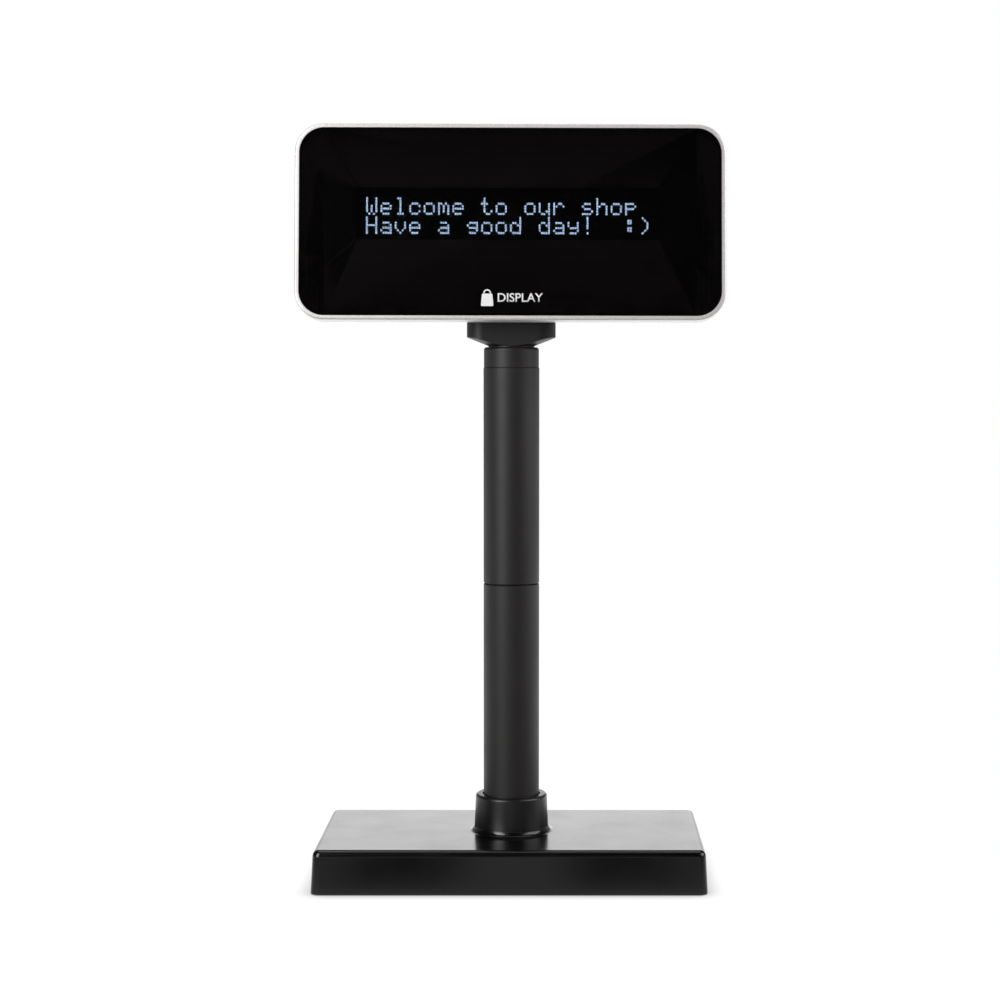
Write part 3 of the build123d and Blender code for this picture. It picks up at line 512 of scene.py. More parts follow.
@dataclass(frozen=True)
class LitPhosphor:
    """Excited phosphor dots: a pale blue-green glow, a little uneven from dot to dot."""

    name: str = "lit_phosphor"
    colour: str = "#b9d4f4"
    edge_colour: str = "#95bbe6"
    strength: float = 6.0
    roughness: float = 0.8
    cell_mm: float = 1.3

    def make(self) -> bpy.types.Material:
        """Makes the finish.

        Returns:
            The finished material.
        """
        material, tree, shader = blank_material(self.name)
        cells = noise(tree, object_place(tree), self.cell_mm, 1.0)
        tint = blend(tree, cells, self.edge_colour, self.colour)
        tree.links.new(tint, shader.inputs["Emission Color"])
        tree.links.new(tint, shader.inputs["Base Color"])
        shader.inputs["Emission Strength"].default_value = self.strength
        shader.inputs["Roughness"].default_value = self.roughness
        return material


@dataclass(frozen=True)
class PrintedInk:
    """Screen-printed ink: matt, with the screen's faint mesh in it, drawn coarser than it is."""

    name: str
    colour: str
    roughness: float = 0.55
    mesh_mm: float = 0.6
    mesh_level: float = 0.9
    mesh_roughness: float = 0.12

    def make(self) -> bpy.types.Material:
        """Makes the finish.

        Returns:
            The finished material.
        """
        material, tree, shader = blank_material(self.name)
        mesh = add_node(tree, "ShaderNodeTexVoronoi", inputs={
            "Vector": object_place(tree), "Scale": per_metre(self.mesh_mm), "Randomness": 0.15})
        level = remap(tree, mesh.outputs["Distance"], levels=(1.0, self.mesh_level))
        tint = add_node(tree, "ShaderNodeMix", {"data_type": "RGBA", "blend_type": "MULTIPLY"}, {
            0: 1.0, 6: linear(self.colour), 7: level}).outputs[2]
        rough = remap(tree, mesh.outputs["Distance"],
                      levels=(self.roughness, self.roughness + self.mesh_roughness))
        tree.links.new(tint, shader.inputs["Base Color"])
        tree.links.new(rough, shader.inputs["Roughness"])
        return material


@dataclass(frozen=True)
class Metal:
    """Plated, painted or rolled metal: a base colour that drifts, over fine marks from its making."""

    name: str
    colour: str
    drift_colour: str
    roughness: float
    drift_mm: float
    grain_mm: float
    grain_depth_mm: float = 0.004
    roughness_spread: float = 0.07

    def make(self) -> bpy.types.Material:
        """Makes the finish.

        Returns:
            The finished material.
        """
        material, tree, shader = blank_material(self.name)
        place = object_place(tree)
        drift = noise(tree, place, self.drift_mm, 4.0)
        tint = blend(tree, drift, self.colour, self.drift_colour)
        grain = noise(tree, object_place(tree), self.grain_mm, 3.0)
        rough = remap(tree, grain, span=NOISE_SPAN,
                      levels=around(self.roughness, self.roughness_spread))
        bump = relief(tree, grain, self.grain_depth_mm)
        tree.links.new(tint, shader.inputs["Base Color"])
        tree.links.new(rough, shader.inputs["Roughness"])
        tree.links.new(bump, shader.inputs["Normal"])
        shader.inputs["Metallic"].default_value = 1.0
        return material


@dataclass(frozen=True)
class SoftSolid:
    """Rubber, foam, cable jacket, nylon or epoxy: one colour that mottles, over a pebbled skin."""

    name: str
    colour: str
    mottle_colour: str
    roughness: float
    mottle_mm: float
    pebble_mm: float
    pebble_depth_mm: float
    glow_through: float = 0.0
    glow_mm: float = 1.0
    roughness_below: float = 0.05
    roughness_above: float = 0.08

    def make(self) -> bpy.types.Material:
        """Makes the finish.

        Returns:
            The finished material.
        """
        material, tree, shader = blank_material(self.name)
        place = object_place(tree)
        mottle = noise(tree, place, self.mottle_mm, 3.0)
        tint = blend(tree, mottle, self.colour, self.mottle_colour)
        pebble = add_node(tree, "ShaderNodeTexVoronoi", {"feature": "SMOOTH_F1"}, {
            "Vector": place, "Scale": per_metre(self.pebble_mm), "Smoothness": 0.6})
        rough = remap(tree, pebble.outputs["Distance"],
                      levels=(self.roughness - self.roughness_below, self.roughness + self.roughness_above))
        bump = relief(tree, pebble.outputs["Distance"], self.pebble_depth_mm)
        tree.links.new(tint, shader.inputs["Base Color"])
        tree.links.new(rough, shader.inputs["Roughness"])
        tree.links.new(bump, shader.inputs["Normal"])
        shader.inputs["Subsurface Weight"].default_value = self.glow_through
        shader.inputs["Subsurface Scale"].default_value = self.glow_mm * MM
        return material


@dataclass(frozen=True)
class CircuitBoard:
    """Green solder mask on glass-fibre board: copper runs show as lighter lines through the mask."""

    name: str
    turn: float
    mask: str = "#0f4a26"
    copper: str = "#2a7a44"
    roughness: float = 0.28
    run_mm: float = 2.4
    run_edges: tuple[float, float] = (0.62, 0.70)
    copper_depth_mm: float = 0.035
    block_mm: float = 14.0

    def make(self) -> bpy.types.Material:
        """Makes the finish.

        Returns:
            The finished material.
        """
        material, tree, shader = blank_material(self.name)
        place = object_place(tree, self.turn)
        blocks = add_node(tree, "ShaderNodeTexVoronoi", {"distance": "MANHATTAN"}, {
            "Vector": place, "Scale": per_metre(self.block_mm)})
        bent = add_node(tree, "ShaderNodeVectorMath", {"operation": "ADD"}, {
            0: place, 1: blocks.outputs["Color"]})
        runs = add_node(tree, "ShaderNodeTexWave", {"bands_direction": "DIAGONAL"}, {
            "Vector": bent.outputs["Vector"], "Scale": per_metre(self.run_mm) / WAVE_FACTOR,
            "Distortion": 0.0})
        line = remap(tree, runs.outputs["Fac"], span=self.run_edges)
        tint = blend(tree, line, self.mask, self.copper)
        bump = relief(tree, line, self.copper_depth_mm)
        tree.links.new(tint, shader.inputs["Base Color"])
        tree.links.new(bump, shader.inputs["Normal"])
        shader.inputs["Roughness"].default_value = self.roughness
        return material


# ---------------------------------------------------------------- the stand


@dataclass
class WeightedBase:
    """The base: a moulded cover with its boss, the plate, feet and ballast, and the two sockets."""

    # Injection-moulded ABS from a polished tool: deep black, long soft reflections, a duller boss.
    cover_gloss: MouldedPlastic = MouldedPlastic(
        "moulded_abs_gloss", "#060505", "#080707", roughness=0.20, roughness_spread=0.03, grain_mm=0.7,
        grain_depth_mm=0.0012, wave_mm=26.0, wave_depth_mm=0.020, coarse_above_mm=25.0, coarse_extra=0.16)
    # Injection-moulded ABS from a spark-eroded tool: an even, dull charcoal.
    plate_matt: MouldedPlastic = MouldedPlastic(
        "moulded_abs_matt", "#1d1c1c", "#232121", roughness=0.55, roughness_spread=0.05, grain_mm=0.6,
        grain_depth_mm=0.010, wave_mm=18.0, wave_depth_mm=0.010)
    # Compression-moulded rubber: dull, with a slightly pebbled skin.
    feet_rubber: SoftSolid = SoftSolid(
        "moulded_rubber", "#17171a", "#1f1e20", roughness=0.75, mottle_mm=9.0, pebble_mm=0.6,
        pebble_depth_mm=0.03)
    # Hot-rolled steel, blackened: brownish drifts and a broken, dim shine.
    ballast_steel: Metal = Metal(
        "rolled_steel_black", "#2b2a2c", "#3a3735", roughness=0.50, drift_mm=22.0, grain_mm=1.5)
    # Spring wire flashed with gold: a warm, tight shine.
    contact_gold: Metal = Metal(
        "gold_flashed_wire", "#e0b45c", "#c99a45", roughness=0.25, drift_mm=2.0, grain_mm=0.5)
    # Turned brass plated with nickel: a warm grey, nearly polished.
    pin_nickel: Metal = Metal(
        "nickel_pin", "#c9c6bf", "#bdb8ae", roughness=0.22, drift_mm=3.0, grain_mm=0.6)
    # Moulded natural nylon: milky, light passes a little way in.
    header_nylon: SoftSolid = SoftSolid(
        "connector_nylon", "#e6e2d6", "#dcd7c8", roughness=0.45, mottle_mm=5.0, pebble_mm=0.8,
        pebble_depth_mm=0.01, glow_through=0.1)

    def dress(self) -> None:
        """Gives each of the base's CAD nodes its finish."""
        dress(["base_cover"], self.cover_gloss.make())
        dress(["base_plate", "data_socket", "power_jack"], self.plate_matt.make())
        dress(["rubber_feet"], self.feet_rubber.make())
        dress(["ballast_plate"], self.ballast_steel.make())
        dress(["interface_board"], CircuitBoard("interface_solder_mask", 0.0).make())
        dress(["socket_contacts"], self.contact_gold.make())
        dress(["power_pin"], self.pin_nickel.make())
        dress(["interface_header"], self.header_nylon.make())


@dataclass
class Pole:
    """The pole: flange, two tubes on their coupler, the top collar and the cable inside."""

    # Extruded ABS, die-finished: satin, so the light lies along it as broad soft bands.
    tube_satin: MouldedPlastic = MouldedPlastic(
        "extruded_abs_satin", "#110d0c", "#14100f", roughness=0.52, roughness_spread=0.04, grain_mm=0.9,
        grain_depth_mm=0.004, wave_mm=22.0, wave_depth_mm=0.012)
    # Injection-moulded ABS, unpolished: flat and dull.
    coupler_matt: MouldedPlastic = MouldedPlastic(
        "coupler_abs_matt", "#1a1a1b", "#202020", roughness=0.55, roughness_spread=0.05, grain_mm=0.7,
        grain_depth_mm=0.006, wave_mm=16.0, wave_depth_mm=0.01)
    # Pressed steel, zinc plated: bluish grey with yellowish drifts.
    flange_zinc: Metal = Metal(
        "zinc_plated_steel", "#c3c7cc", "#cfc9b6", roughness=0.33, drift_mm=14.0, grain_mm=0.8)
    # Extruded PVC jacket: a soft shine, slightly uneven.
    cable_jacket: SoftSolid = SoftSolid(
        "cable_pvc_jacket", "#1b1b1d", "#222123", roughness=0.42, mottle_mm=12.0, pebble_mm=1.1,
        pebble_depth_mm=0.008)

    def dress(self) -> bpy.types.Material:
        """Gives the pole's CAD nodes their finish.

        Returns:
            The tubes' material, which the neck shares.
        """
        satin = self.tube_satin.make()
        dress(["lower_tube", "upper_tube", "pole_top_collar"], satin)
        dress(["tube_coupler"], self.coupler_matt.make())
        dress(["pole_flange", "wave_washer"], self.flange_zinc.make())
        dress(["signal_cable", "neck_cable", "head_cable"], self.cable_jacket.make())
        return satin


@dataclass
class SwivelNeck:
    """The neck block that pans in the collar and carries the tilt ears."""

    # Turned acetal: dark and slightly waxy.
    washer_acetal: MouldedPlastic = MouldedPlastic(
        "turned_acetal", "#1a1a1b", "#1e1e20", roughness=0.45, roughness_spread=0.05, grain_mm=0.6,
        grain_depth_mm=0.004, wave_mm=12.0, wave_depth_mm=0.004)
    # Punched natural nylon: milky and soft-edged.
    washer_nylon: SoftSolid = SoftSolid(
        "washer_nylon", "#dcd8cd", "#d0cbbd", roughness=0.5, mottle_mm=4.0, pebble_mm=0.9,
        pebble_depth_mm=0.006, glow_through=0.1)

    def dress(self, satin: bpy.types.Material) -> None:
        """Gives the neck's CAD nodes their finish.

        Args:
            satin: the pole's own plastic.
        """
        dress(["swivel_neck"], satin)
        dress(["thrust_washer"], self.washer_acetal.make())
        dress(["tilt_washers"], self.washer_nylon.make())


@dataclass
class Fasteners:
    """Every screw, nut and clip, and the folded tilt bracket."""

    # Cold-headed steel, black zinc plated: dark with a dull metal shine.
    black_zinc: Metal = Metal(
        "black_zinc_screw", "#3a3a3d", "#4a4847", roughness=0.38, drift_mm=4.0, grain_mm=0.5)
    # Cold-headed steel, bright zinc plated: a clear bluish shine.
    bright_zinc: Metal = Metal(
        "bright_zinc_screw", "#b9bcc1", "#c4bfae", roughness=0.28, drift_mm=5.0, grain_mm=0.6)
    # Pressed sheet steel, zinc plated: grey with a softer shine than the screws.
    pressed_zinc: Metal = Metal(
        "pressed_zinc_steel", "#bfc3c9", "#ccc6b3", roughness=0.35, drift_mm=10.0, grain_mm=0.9)

    def dress(self) -> None:
        """Gives the fasteners their finish."""
        dress(["base_screws", "ballast_screws", "interface_screws", "flange_screws", "cover_screws",
               "board_screws", "bracket_screws", "swivel_clip"], self.black_zinc.make())
        dress(["tilt_screws", "tilt_nuts"], self.bright_zinc.make())
        dress(["tilt_bracket"], self.pressed_zinc.make())


# ---------------------------------------------------------------- the head

GLYPHS = {
    "W": "#...# #...# #...# #.#.# #.#.# #.#.# .#.#.",
    "H": "#...# #...# #...# ##### #...# #...# #...#",
    "a": "..... ..... .###. ....# .#### #...# .####",
    "c": "..... ..... .###. #...# #.... #...# .###.",
    "d": "....# ....# .##.# #..## #...# #...# .####",
    "e": "..... ..... .###. #...# ##### #.... .###.",
    "g": "..... ..... .#### #...# .#### ....# .###.",
    "h": "#.... #.... #.##. ##..# #...# #...# #...#",
    "l": ".##.. ..#.. ..#.. ..#.. ..#.. ..#.. .###.",
    "m": "..... ..... ##.#. #.#.# #.#.# #.#.# #...#",
    "o": "..... ..... .###. #...# #...# #...# .###.",
    "p": "..... ..... ####. #...# ####. #.... #....",
    "r": "..... ..... #.##. ##..# #.... #.... #....",
    "s": "..... ..... .###. #.... .###. ....# ####.",
    "t": ".#... .#... ###.. .#... .#... .#..# ..##.",
    "u": "..... ..... #...# #...# #...# #..## .##.#",
    "v": "..... ..... #...# #...# #...# .#.#. ..#..",
    "y": "..... ..... #...# #...# .#### ....# .###.",
    "!": "..#.. ..#.. ..#.. ..#.. ..#.. ..... ..#..",
    ":": "..... .##.. .##.. ..... .##.. .##.. .....",
    ")": ".#... ..#.. ...#. ...#. ...#. ..#.. .#...",
    " ": "..... ..... ..... ..... ..... ..... .....",
}


@dataclass
class DisplayModule:
    """The vacuum fluorescent tube and its driver board, with the lit characters."""

    space: HeadSpace
    lines: tuple[str, str] = ("Welcome to our shop", "Have a good day!  :)")
    columns: int = 20
    character_width_mm: float = 5.8
    character_height_mm: float = 9.1
    dot_across_mm: float = 0.90
    dot_up_mm: float = 1.04
    dot_thick_mm: float = 0.06
    dot_corner_mm: float = 0.12

    def add_dot(self, form: bmesh.types.BMesh, centre: Vector) -> None:
        """Adds one rounded phosphor dot.

        Args:
            form: the bmesh of its line.
            centre: its middle, in the head's own space.
        """
        size = Matrix.Diagonal((self.dot_across_mm * MM, self.dot_thick_mm * MM, self.dot_up_mm * MM, 1.0))
        place = self.space.matrix @ Matrix.Translation(centre) @ size
        made = bmesh.ops.create_cube(form, size=1.0, matrix=place)
        edges = {edge for vertex in made["verts"] for edge in vertex.link_edges}
        depth = self.space.matrix.to_3x3() @ Vector((0.0, 1.0, 0.0))
        along = [e for e in edges if abs((e.verts[1].co - e.verts[0].co).normalized().dot(depth)) > 0.9]
        bmesh.ops.bevel(form, geom=along, offset=self.dot_corner_mm * MM, segments=1, profile=0.5,
                        affect="EDGES", material=-1)

    def build_line(self, row: Row, material: bpy.types.Material) -> None:
        """Builds the lit dots of one line of text.

        Args:
            row: which of the two lines.
            material: the lit phosphor.
        """
        low, high = self.space.box("vfd_anodes")
        character_width = self.character_width_mm * MM
        character_height = self.character_height_mm * MM
        pitch = (high.x - low.x - character_width) / (self.columns - 1)
        across = (character_width - self.dot_across_mm * MM) / (DOT_COLUMNS - 1)
        up = (character_height - self.dot_up_mm * MM) / (DOT_ROWS - 1)
        top = high.z if row is Row.UPPER else low.z + character_height
        form = bmesh.new()
        for column, letter in enumerate(self.lines[row.value - 1]):
            for line, bits in enumerate(GLYPHS[letter].split()):
                for dot, bit in enumerate(bits):
                    if bit == "#":
                        x = low.x + column * pitch + self.dot_across_mm * MM / 2 + dot * across
                        z = top - self.dot_up_mm * MM / 2 - line * up
                        self.add_dot(form, Vector((x, low.y - self.dot_thick_mm * MM, z)))
        new_piece(f"lit_line_{row.value}", form, Body.HEAD, material)

    def build(self) -> None:
        """Builds the lit lines and dresses the module's CAD nodes."""
        phosphor = LitPhosphor().make()
        for row in Row:
            self.build_line(row, phosphor)
        glass = ClearGlass().make()
        dress(["vfd_front_glass", "vfd_side_walls"], glass)
        # Glass with a fired dark print, and phosphor that isn't lit: dull greys behind clear glass.
        dress(["vfd_back_glass"], PrintedInk("tube_back_print", "#131315", 0.4).make())
        dress(["vfd_anodes"], PrintedInk("unlit_phosphor", "#1d2122", 0.8, mesh_mm=1.2).make())
        # Dipped solder: pale grey, uneven, a soft shine.
        dress(["vfd_leads"], Metal(
            "tinned_leads", "#b9b7b1", "#aaa69c", roughness=0.3, drift_mm=3.0, grain_mm=0.5).make())
        dress(["driver_board"], CircuitBoard("driver_solder_mask", REST_TILT).make())
        # Transfer-moulded epoxy: a dull near-black.
        dress(["driver_chips"], SoftSolid(
            "moulded_epoxy", "#1c1c1f", "#232326", roughness=0.6, mottle_mm=5.0,
            pebble_mm=0.5, pebble_depth_mm=0.01).make())
        # Shrunk PVC sleeve: navy, tight and shiny.
        dress(["capacitors"], SoftSolid(
            "shrink_sleeve", "#151b3a", "#1a2144", roughness=0.3, mottle_mm=8.0,
            pebble_mm=3.0, pebble_depth_mm=0.004).make())
        # Pressed and sintered ferrite: a chalky dark grey.
        dress(["power_coil"], SoftSolid(
            "sintered_ferrite", "#2b2a2a", "#343231", roughness=0.7, mottle_mm=4.0,
            pebble_mm=0.5, pebble_depth_mm=0.02).make())
        # Moulded natural nylon: milky, light passes a little way in.
        dress(["cable_header"], SoftSolid(
            "header_nylon", "#e6e2d6", "#dcd7c8", roughness=0.45, mottle_mm=5.0,
            pebble_mm=0.8, pebble_depth_mm=0.01, glow_through=0.1).make())
        # Foamed polyurethane, cut: open-pored and without any shine.
        dress(["foam_pads"], SoftSolid(
            "pad_foam", "#232326", "#2c2c30", roughness=0.95, mottle_mm=3.0,
            pebble_mm=0.8, pebble_depth_mm=0.08).make())


@dataclass
class HeadCasing:
    """The head's frame, lens and back housing, with the small printed emblem on the lens."""

    space: HeadSpace
    emblem_drop_mm: float = 39.9
    emblem_left_mm: float = -15.4
    bag_width_mm: float = 6.6
    bag_height_mm: float = 6.6
    bag_top_share: float = 0.82
    bag_drop_mm: float = 1.3
    bag_corner_mm: float = 0.6
    handle_radii_mm: tuple[float, float] = (1.35, 2.05)
    handle_rise_mm: float = 2.2
    handle_steps: int = 16
    word: str = "DISPLAY"
    word_left_mm: float = -6.6
    word_width_mm: float = 23.6
    word_drop_mm: float = 2.4
    word_boldness: float = 0.012
    print_mm: float = 0.03
    weld_mm: float = 0.002

    def on_lens(self) -> Matrix:
        """Returns the matrix from the emblem's flat plane (X right, Y up) to the lens's front face."""
        low, high = self.space.box("front_lens")
        middle = Vector(((low.x + high.x) / 2, low.y, (low.z + high.z) / 2 - self.emblem_drop_mm * MM))
        return self.space.matrix @ Matrix.Translation(middle) @ Matrix.Rotation(math.pi / 2, 4, "X")

    def build_bag(self, ink: bpy.types.Material) -> None:
        """Builds the shopping-bag pictogram: a tapered bag and its handle.

        Args:
            ink: the printed white.
        """
        form = bmesh.new()
        half = self.bag_width_mm * MM / 2
        centre = Vector((self.emblem_left_mm * MM + half, 0.0, 0.0))
        bmesh.ops.create_grid(form, x_segments=1, y_segments=1, size=0.5)
        form.verts.ensure_lookup_table()
        for vertex in form.verts:
            narrowing = self.bag_top_share if vertex.co.y > 0 else 1.0
            vertex.co.x *= self.bag_width_mm * MM * narrowing
            vertex.co.y = vertex.co.y * self.bag_height_mm * MM - self.bag_drop_mm * MM
        bmesh.ops.bevel(form, geom=form.verts[:], offset=self.bag_corner_mm * MM, segments=4, profile=0.5,
                        affect="VERTICES", material=-1)
        handle = bmesh.new()
        for radius_mm in self.handle_radii_mm:
            handle.verts.new((radius_mm * MM, 0.0, 0.0))
        handle.edges.new(handle.verts[:])
        bmesh.ops.spin(handle, geom=handle.verts[:] + handle.edges[:], cent=(0, 0, 0), axis=(0, 0, 1),
                       angle=math.pi, steps=self.handle_steps)
        bmesh.ops.translate(handle, verts=handle.verts[:], vec=(0.0, self.handle_rise_mm * MM, 0.0))
        mesh = bpy.data.meshes.new("handle")
        handle.to_mesh(mesh)
        handle.free()
        form.from_mesh(mesh)
        bpy.data.meshes.remove(mesh)
        bmesh.ops.translate(form, verts=form.verts[:], vec=centre)
        self.print_on_lens("emblem_bag", form, ink)

    def print_on_lens(self, name: str, form: bmesh.types.BMesh, ink: bpy.types.Material) -> None:
        """Gives a flat drawing the ink's thickness and lays it on the lens.

        Args:
            name: the piece's name.
            form: the drawing, flat on X and Y.
            ink: the printed white.
        """
        made = bmesh.ops.extrude_face_region(form, geom=form.faces[:])
        raised = [item for item in made["geom"] if isinstance(item, bmesh.types.BMVert)]
        bmesh.ops.translate(form, verts=raised, vec=(0.0, 0.0, self.print_mm * MM))
        bmesh.ops.transform(form, matrix=self.on_lens(), verts=form.verts[:])
        new_piece(name, form, Body.HEAD, ink)

    def build_word(self, ink: bpy.types.Material) -> None:
        """Prints the plain word beside the pictogram.

        Args:
            ink: the printed white.
        """
        curve = bpy.data.curves.new("word", "FONT")
        curve.body = self.word
        curve.offset = self.word_boldness
        curve.resolution_u = 6
        letters = bpy.data.objects.new("word", curve)
        bpy.context.scene.collection.objects.link(letters)
        bpy.context.view_layer.update()
        evaluated = letters.evaluated_get(bpy.context.evaluated_depsgraph_get())
        mesh = bpy.data.meshes.new_from_object(evaluated)
        bpy.data.objects.remove(letters)
        bpy.data.curves.remove(curve)
        form = bmesh.new()
        form.from_mesh(mesh)
        bpy.data.meshes.remove(mesh)
        left = min(v.co.x for v in form.verts)
        right = max(v.co.x for v in form.verts)
        low = min(v.co.y for v in form.verts)
        size = self.word_width_mm * MM / (right - left)
        bmesh.ops.translate(form, verts=form.verts[:], vec=(-left, -low, 0.0))
        bmesh.ops.scale(form, verts=form.verts[:], vec=(size, size, 1.0))
        place = (self.word_left_mm * MM, -self.word_drop_mm * MM, 0.0)
        bmesh.ops.translate(form, verts=form.verts[:], vec=place)
        bmesh.ops.remove_doubles(form, verts=form.verts[:], dist=self.weld_mm * MM)
        self.print_on_lens("emblem_word", form, ink)

    def build(self) -> None:
        """Prints the emblem and dresses the casing's CAD nodes."""
        ink = PrintedInk("printed_white_ink", "#f4f4f4", 0.5).make()
        self.build_bag(ink)
        self.build_word(ink)
        dress(["bezel_frame"], SilverPaint().make())
        dress(["front_lens"], SmokedAcrylic().make())
        # Screen-printed black behind the lens: a flat border with a trace of warmth.
        dress(["lens_mask"], PrintedInk("black_screen_print", "#170a0d", 0.7).make())
        # Die-cut closed-cell foam: dull, finely pitted.
        dress(["lens_gasket"], SoftSolid(
            "closed_cell_foam", "#1d1d20", "#26262a", roughness=0.9, mottle_mm=3.0,
            pebble_mm=0.7, pebble_depth_mm=0.05).make())
        # Injection-moulded ABS from a finely eroded tool: between the base's gloss and the pole's satin.
        dress(["rear_cover"], MouldedPlastic(
            "housing_abs_satin", "#1b1919", "#201e1d", roughness=0.36, roughness_spread=0.04, grain_mm=0.8,
            grain_depth_mm=0.006, wave_mm=24.0, wave_depth_mm=0.015).make())


# ---------------------------------------------------------------- the studio


@dataclass(frozen=True)
class SoftBox:
    """A rectangular studio light that faces the object."""

    name: str
    bearing_deg: float
    distance: float
    height: float
    width: float
    tall: float
    power: float
    aim_height: float = 0.2

    def place(self) -> None:
        """Adds the light at its bearing, measured from the camera's side towards +X."""
        data = bpy.data.lights.new(self.name, "AREA")
        data.shape = "RECTANGLE"
        data.size = self.width
        data.size_y = self.tall
        data.energy = self.power
        light = bpy.data.objects.new(self.name, data)
        bearing = math.radians(self.bearing_deg)
        light.location = (
            self.distance * math.sin(bearing), -self.distance * math.cos(bearing), self.height)
        aim = Vector((0.0, 0.0, self.aim_height)) - light.location
        light.rotation_euler = aim.to_track_quat("-Z", "Y").to_euler()
        bpy.context.scene.collection.objects.link(light)


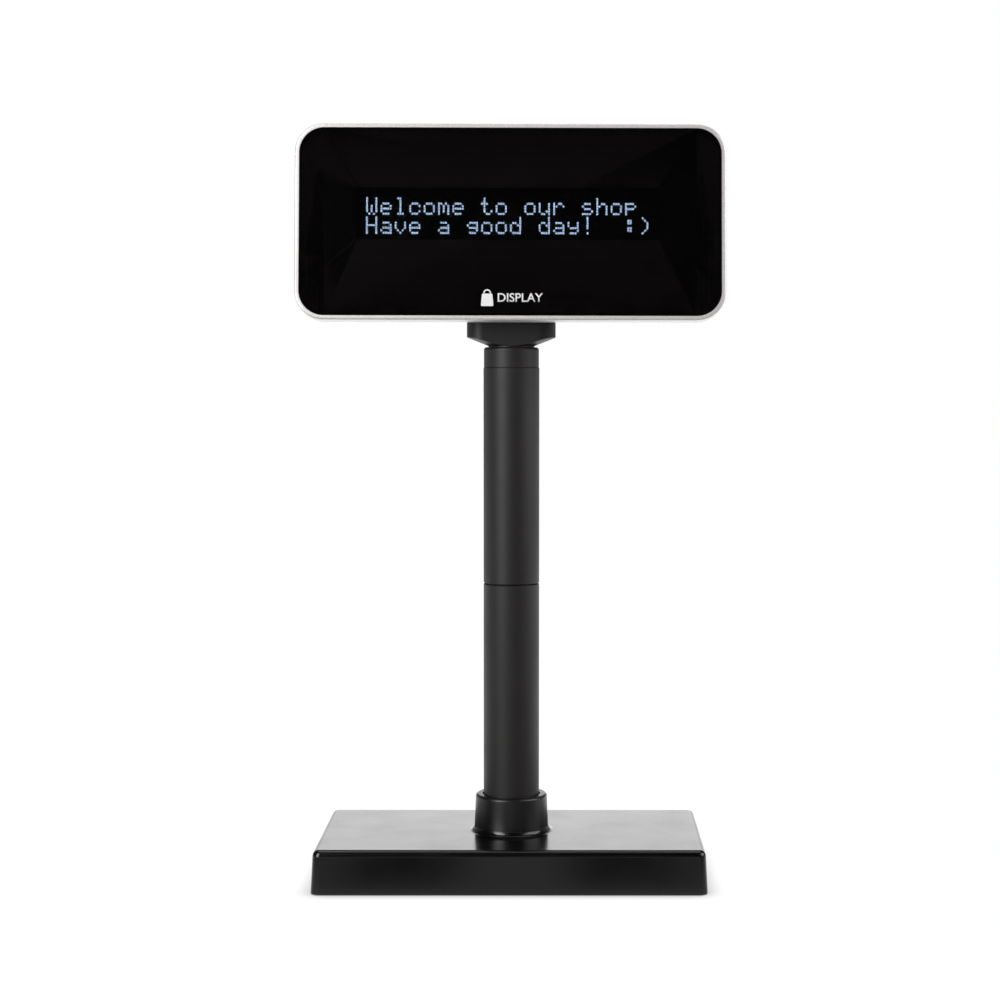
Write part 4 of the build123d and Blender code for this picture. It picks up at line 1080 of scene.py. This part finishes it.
@dataclass
class Studio:
    """Plain pale floor, soft light and the camera."""

    camera_right: float = 0.02443
    camera_distance: float = 1.094
    camera_height: float = 0.2731
    pitch_deg: float = -3.672
    heading_deg: float = -0.396
    roll_deg: float = 0.116
    sideways_shift: float = -0.0708
    focal_mm: float = 73.23
    sensor_mm: float = 36.0
    floor_half: float = 6.0
    paper_level: float = 0.03
    # How far the painted contact shadow on the floor reaches, and how dark it gets.
    painted_contact_shadow_reach: float = 0.010
    painted_contact_shadow_level: float = 0.25
    # Distances from the middle between which the floor's lit strips come and go.
    middle_strip: tuple[float, float] = (0.015, 0.050)
    outer_strip_start: tuple[float, float] = (0.075, 0.110)
    outer_strip_end: tuple[float, float] = (0.150, 0.260)
    outer_strip_level: float = 0.7
    # Places along Y in millimetres, and the floor's level there between the strips and in them.
    floor_dim: tuple[tuple[float, float], ...] = (
        (-900.0, 0.02), (-330.0, 0.02), (-150.0, 0.03), (-95.0, 0.20), (-60.0, 0.50), (0.0, 0.9),
        (60.0, 1.3))
    floor_lit: tuple[tuple[float, float], ...] = (
        (-900.0, 0.60), (-330.0, 0.60), (-150.0, 0.42), (-95.0, 0.42), (-60.0, 0.50), (0.0, 0.9),
        (60.0, 1.3))
    # Directions between which the backdrop rises, ends above, narrows and shines at its sides.
    backdrop_level: float = 1.95
    backdrop_rise: tuple[float, float] = (0.1, 0.97)
    backdrop_top: tuple[float, float] = (0.28, 0.60)
    backdrop_sides: tuple[float, float] = (0.12, 0.38)
    backdrop_side_level: float = 0.15
    # A thin bright band level with the object, on the customer's side only.
    skyline_level: float = 0.9
    skyline_front: tuple[float, float] = (-0.9, -0.7)
    skyline_reach: tuple[float, float] = (0.0, 0.12)
    room_level: float = 0.02
    boxes: tuple[SoftBox, ...] = (
        SoftBox("key_soft_box", -40.0, distance=1.5, height=0.85, width=0.75, tall=1.5, power=26.0),
        SoftBox("side_soft_box", 76.0, distance=1.4, height=0.88, width=1.40, tall=1.2, power=16.0),
        SoftBox("top_soft_box", 180.0, distance=0.25, height=1.6, width=1.2, tall=0.9, power=5.5),
    )

    def add_camera(self) -> None:
        """Adds the camera at the customer's side, a little to the right, just below the display."""
        data = bpy.data.cameras.new("camera")
        data.lens = self.focal_mm
        data.sensor_width = self.sensor_mm
        data.shift_x = self.sideways_shift
        data.clip_start = 0.05
        data.clip_end = 50.0
        camera = bpy.data.objects.new("camera", data)
        place = Matrix.Translation((self.camera_right, -self.camera_distance, self.camera_height))
        heading = Matrix.Rotation(math.radians(self.heading_deg), 4, "Z")
        pitch = Matrix.Rotation(math.radians(90.0 + self.pitch_deg), 4, "X")
        roll = Matrix.Rotation(math.radians(self.roll_deg), 4, "Z")
        camera.matrix_world = place @ heading @ pitch @ roll
        bpy.context.scene.collection.objects.link(camera)
        bpy.context.scene.camera = camera

    def add_floor(self) -> None:
        """Adds the pale floor.

        The eye sees it white, with a painted contact shadow darkening its glow near the object, or clear
        from below.
        Reflections see it dim on the customer's side, with brighter strips.
        """
        form = bmesh.new()
        bmesh.ops.create_grid(form, x_segments=8, y_segments=8, size=self.floor_half)
        mesh = bpy.data.meshes.new("floor")
        form.to_mesh(mesh)
        form.free()
        floor = bpy.data.objects.new("floor", mesh)
        bpy.context.scene.collection.objects.link(floor)
        material = bpy.data.materials.new("floor_paper")
        material.use_nodes = True
        tree = material.node_tree
        tree.nodes.clear()
        place = add_node(tree, "ShaderNodeTexCoord").outputs["Object"]
        axes = add_node(tree, "ShaderNodeSeparateXYZ", inputs={"Vector": place})
        aside = maths(tree, "ABSOLUTE", axes.outputs["X"])
        middle = remap(tree, aside, self.middle_strip, (1.0, 0.0), smooth=True)
        outer = remap(tree, aside, self.outer_strip_start, (0.0, self.outer_strip_level), smooth=True)
        beyond = remap(tree, aside, self.outer_strip_end, (1.0, 0.0), smooth=True)
        strips = maths(tree, "MAXIMUM", middle, maths(tree, "MULTIPLY", outer, beyond))
        dim = add_ramp(tree, axes.outputs["Y"], self.floor_dim)
        lit = add_ramp(tree, axes.outputs["Y"], self.floor_lit)
        fade = add_node(tree, "ShaderNodeMix", {"data_type": "FLOAT"}, {0: strips, 2: dim, 3: lit})
        eye = add_node(tree, "ShaderNodeLightPath").outputs["Is Camera Ray"]
        # Painted contact shadow: ambient occlusion darkens the floor's own glow where the object is close.
        shade = add_node(tree, "ShaderNodeAmbientOcclusion", {"samples": 8}, {
            "Distance": self.painted_contact_shadow_reach})
        seen_with_painted_shadow = remap(tree, shade.outputs["AO"], levels=(self.painted_contact_shadow_level, 1.0))
        level = add_node(tree, "ShaderNodeMix", {"data_type": "FLOAT"}, {
            0: eye, 2: fade.outputs[0], 3: seen_with_painted_shadow})
        glow = add_node(tree, "ShaderNodeEmission", inputs={
            "Color": linear("#ffffff"), "Strength": level.outputs[0]})
        paper = add_node(tree, "ShaderNodeBsdfDiffuse", inputs={
            "Color": (self.paper_level,) * 3 + (1.0,)})
        both = add_node(tree, "ShaderNodeAddShader", inputs={
            0: glow.outputs["Emission"], 1: paper.outputs["BSDF"]})
        underneath = add_node(tree, "ShaderNodeNewGeometry").outputs["Backfacing"]
        clear = add_node(tree, "ShaderNodeBsdfTransparent")
        sided = add_node(tree, "ShaderNodeMixShader", inputs={
            0: underneath, 1: both.outputs["Shader"], 2: clear.outputs["BSDF"]})
        add_node(tree, "ShaderNodeOutputMaterial", inputs={"Surface": sided.outputs["Shader"]})
        mesh.materials.append(material)

    def add_world(self) -> None:
        """Adds the soft surroundings: a bright backdrop low behind the object, dim elsewhere."""
        world = bpy.data.worlds.new("studio")
        bpy.context.scene.world = world
        world.use_nodes = True
        tree = world.node_tree
        tree.nodes.clear()
        aim = add_node(tree, "ShaderNodeTexCoord").outputs["Generated"]
        axes = add_node(tree, "ShaderNodeSeparateXYZ", inputs={"Vector": aim})
        behind = remap(tree, axes.outputs["Y"], self.backdrop_rise, (0.0, self.backdrop_level), smooth=True)
        low = remap(tree, axes.outputs["Z"], self.backdrop_top, (1.0, 0.0), smooth=True)
        aside = maths(tree, "ABSOLUTE", axes.outputs["X"])
        narrow = remap(tree, aside, self.backdrop_sides, (1.0, self.backdrop_side_level), smooth=True)
        screen = maths(tree, "MULTIPLY", behind, narrow)
        front = remap(tree, axes.outputs["Y"], self.skyline_front, (1.0, 0.0), smooth=True)
        height = maths(tree, "ABSOLUTE", axes.outputs["Z"])
        skyline = remap(tree, height, self.skyline_reach, (self.skyline_level, 0.0), smooth=True)
        glow = maths(tree, "MULTIPLY_ADD", front, skyline, self.room_level)
        backdrop = maths(tree, "MULTIPLY_ADD", screen, low, glow)
        eye = add_node(tree, "ShaderNodeLightPath").outputs["Is Camera Ray"]
        level = add_node(tree, "ShaderNodeMix", {"data_type": "FLOAT"}, {0: eye, 2: backdrop, 3: 1.0})
        sky = add_node(tree, "ShaderNodeBackground", inputs={
            "Color": linear("#ffffff"), "Strength": level.outputs[0]})
        add_node(tree, "ShaderNodeOutputWorld", inputs={"Surface": sky.outputs["Background"]})

    def build(self) -> None:
        """Sets up camera, floor, surroundings and lights."""
        self.add_camera()
        self.add_floor()
        self.add_world()
        for box in self.boxes:
            box.place()
        bpy.context.scene.view_settings.view_transform = "Standard"
        bpy.context.scene.view_settings.look = "None"


def main() -> None:
    """Builds the studio and each sub-assembly in order."""
    logging.basicConfig(level=logging.INFO, format="%(message)s")
    Studio().build()
    WeightedBase().dress()
    satin = Pole().dress()
    SwivelNeck().dress(satin)
    Fasteners().dress()
    space = HeadSpace()
    DisplayModule(space).build()
    HeadCasing(space).build()


if __name__ == "__main__":
    main()
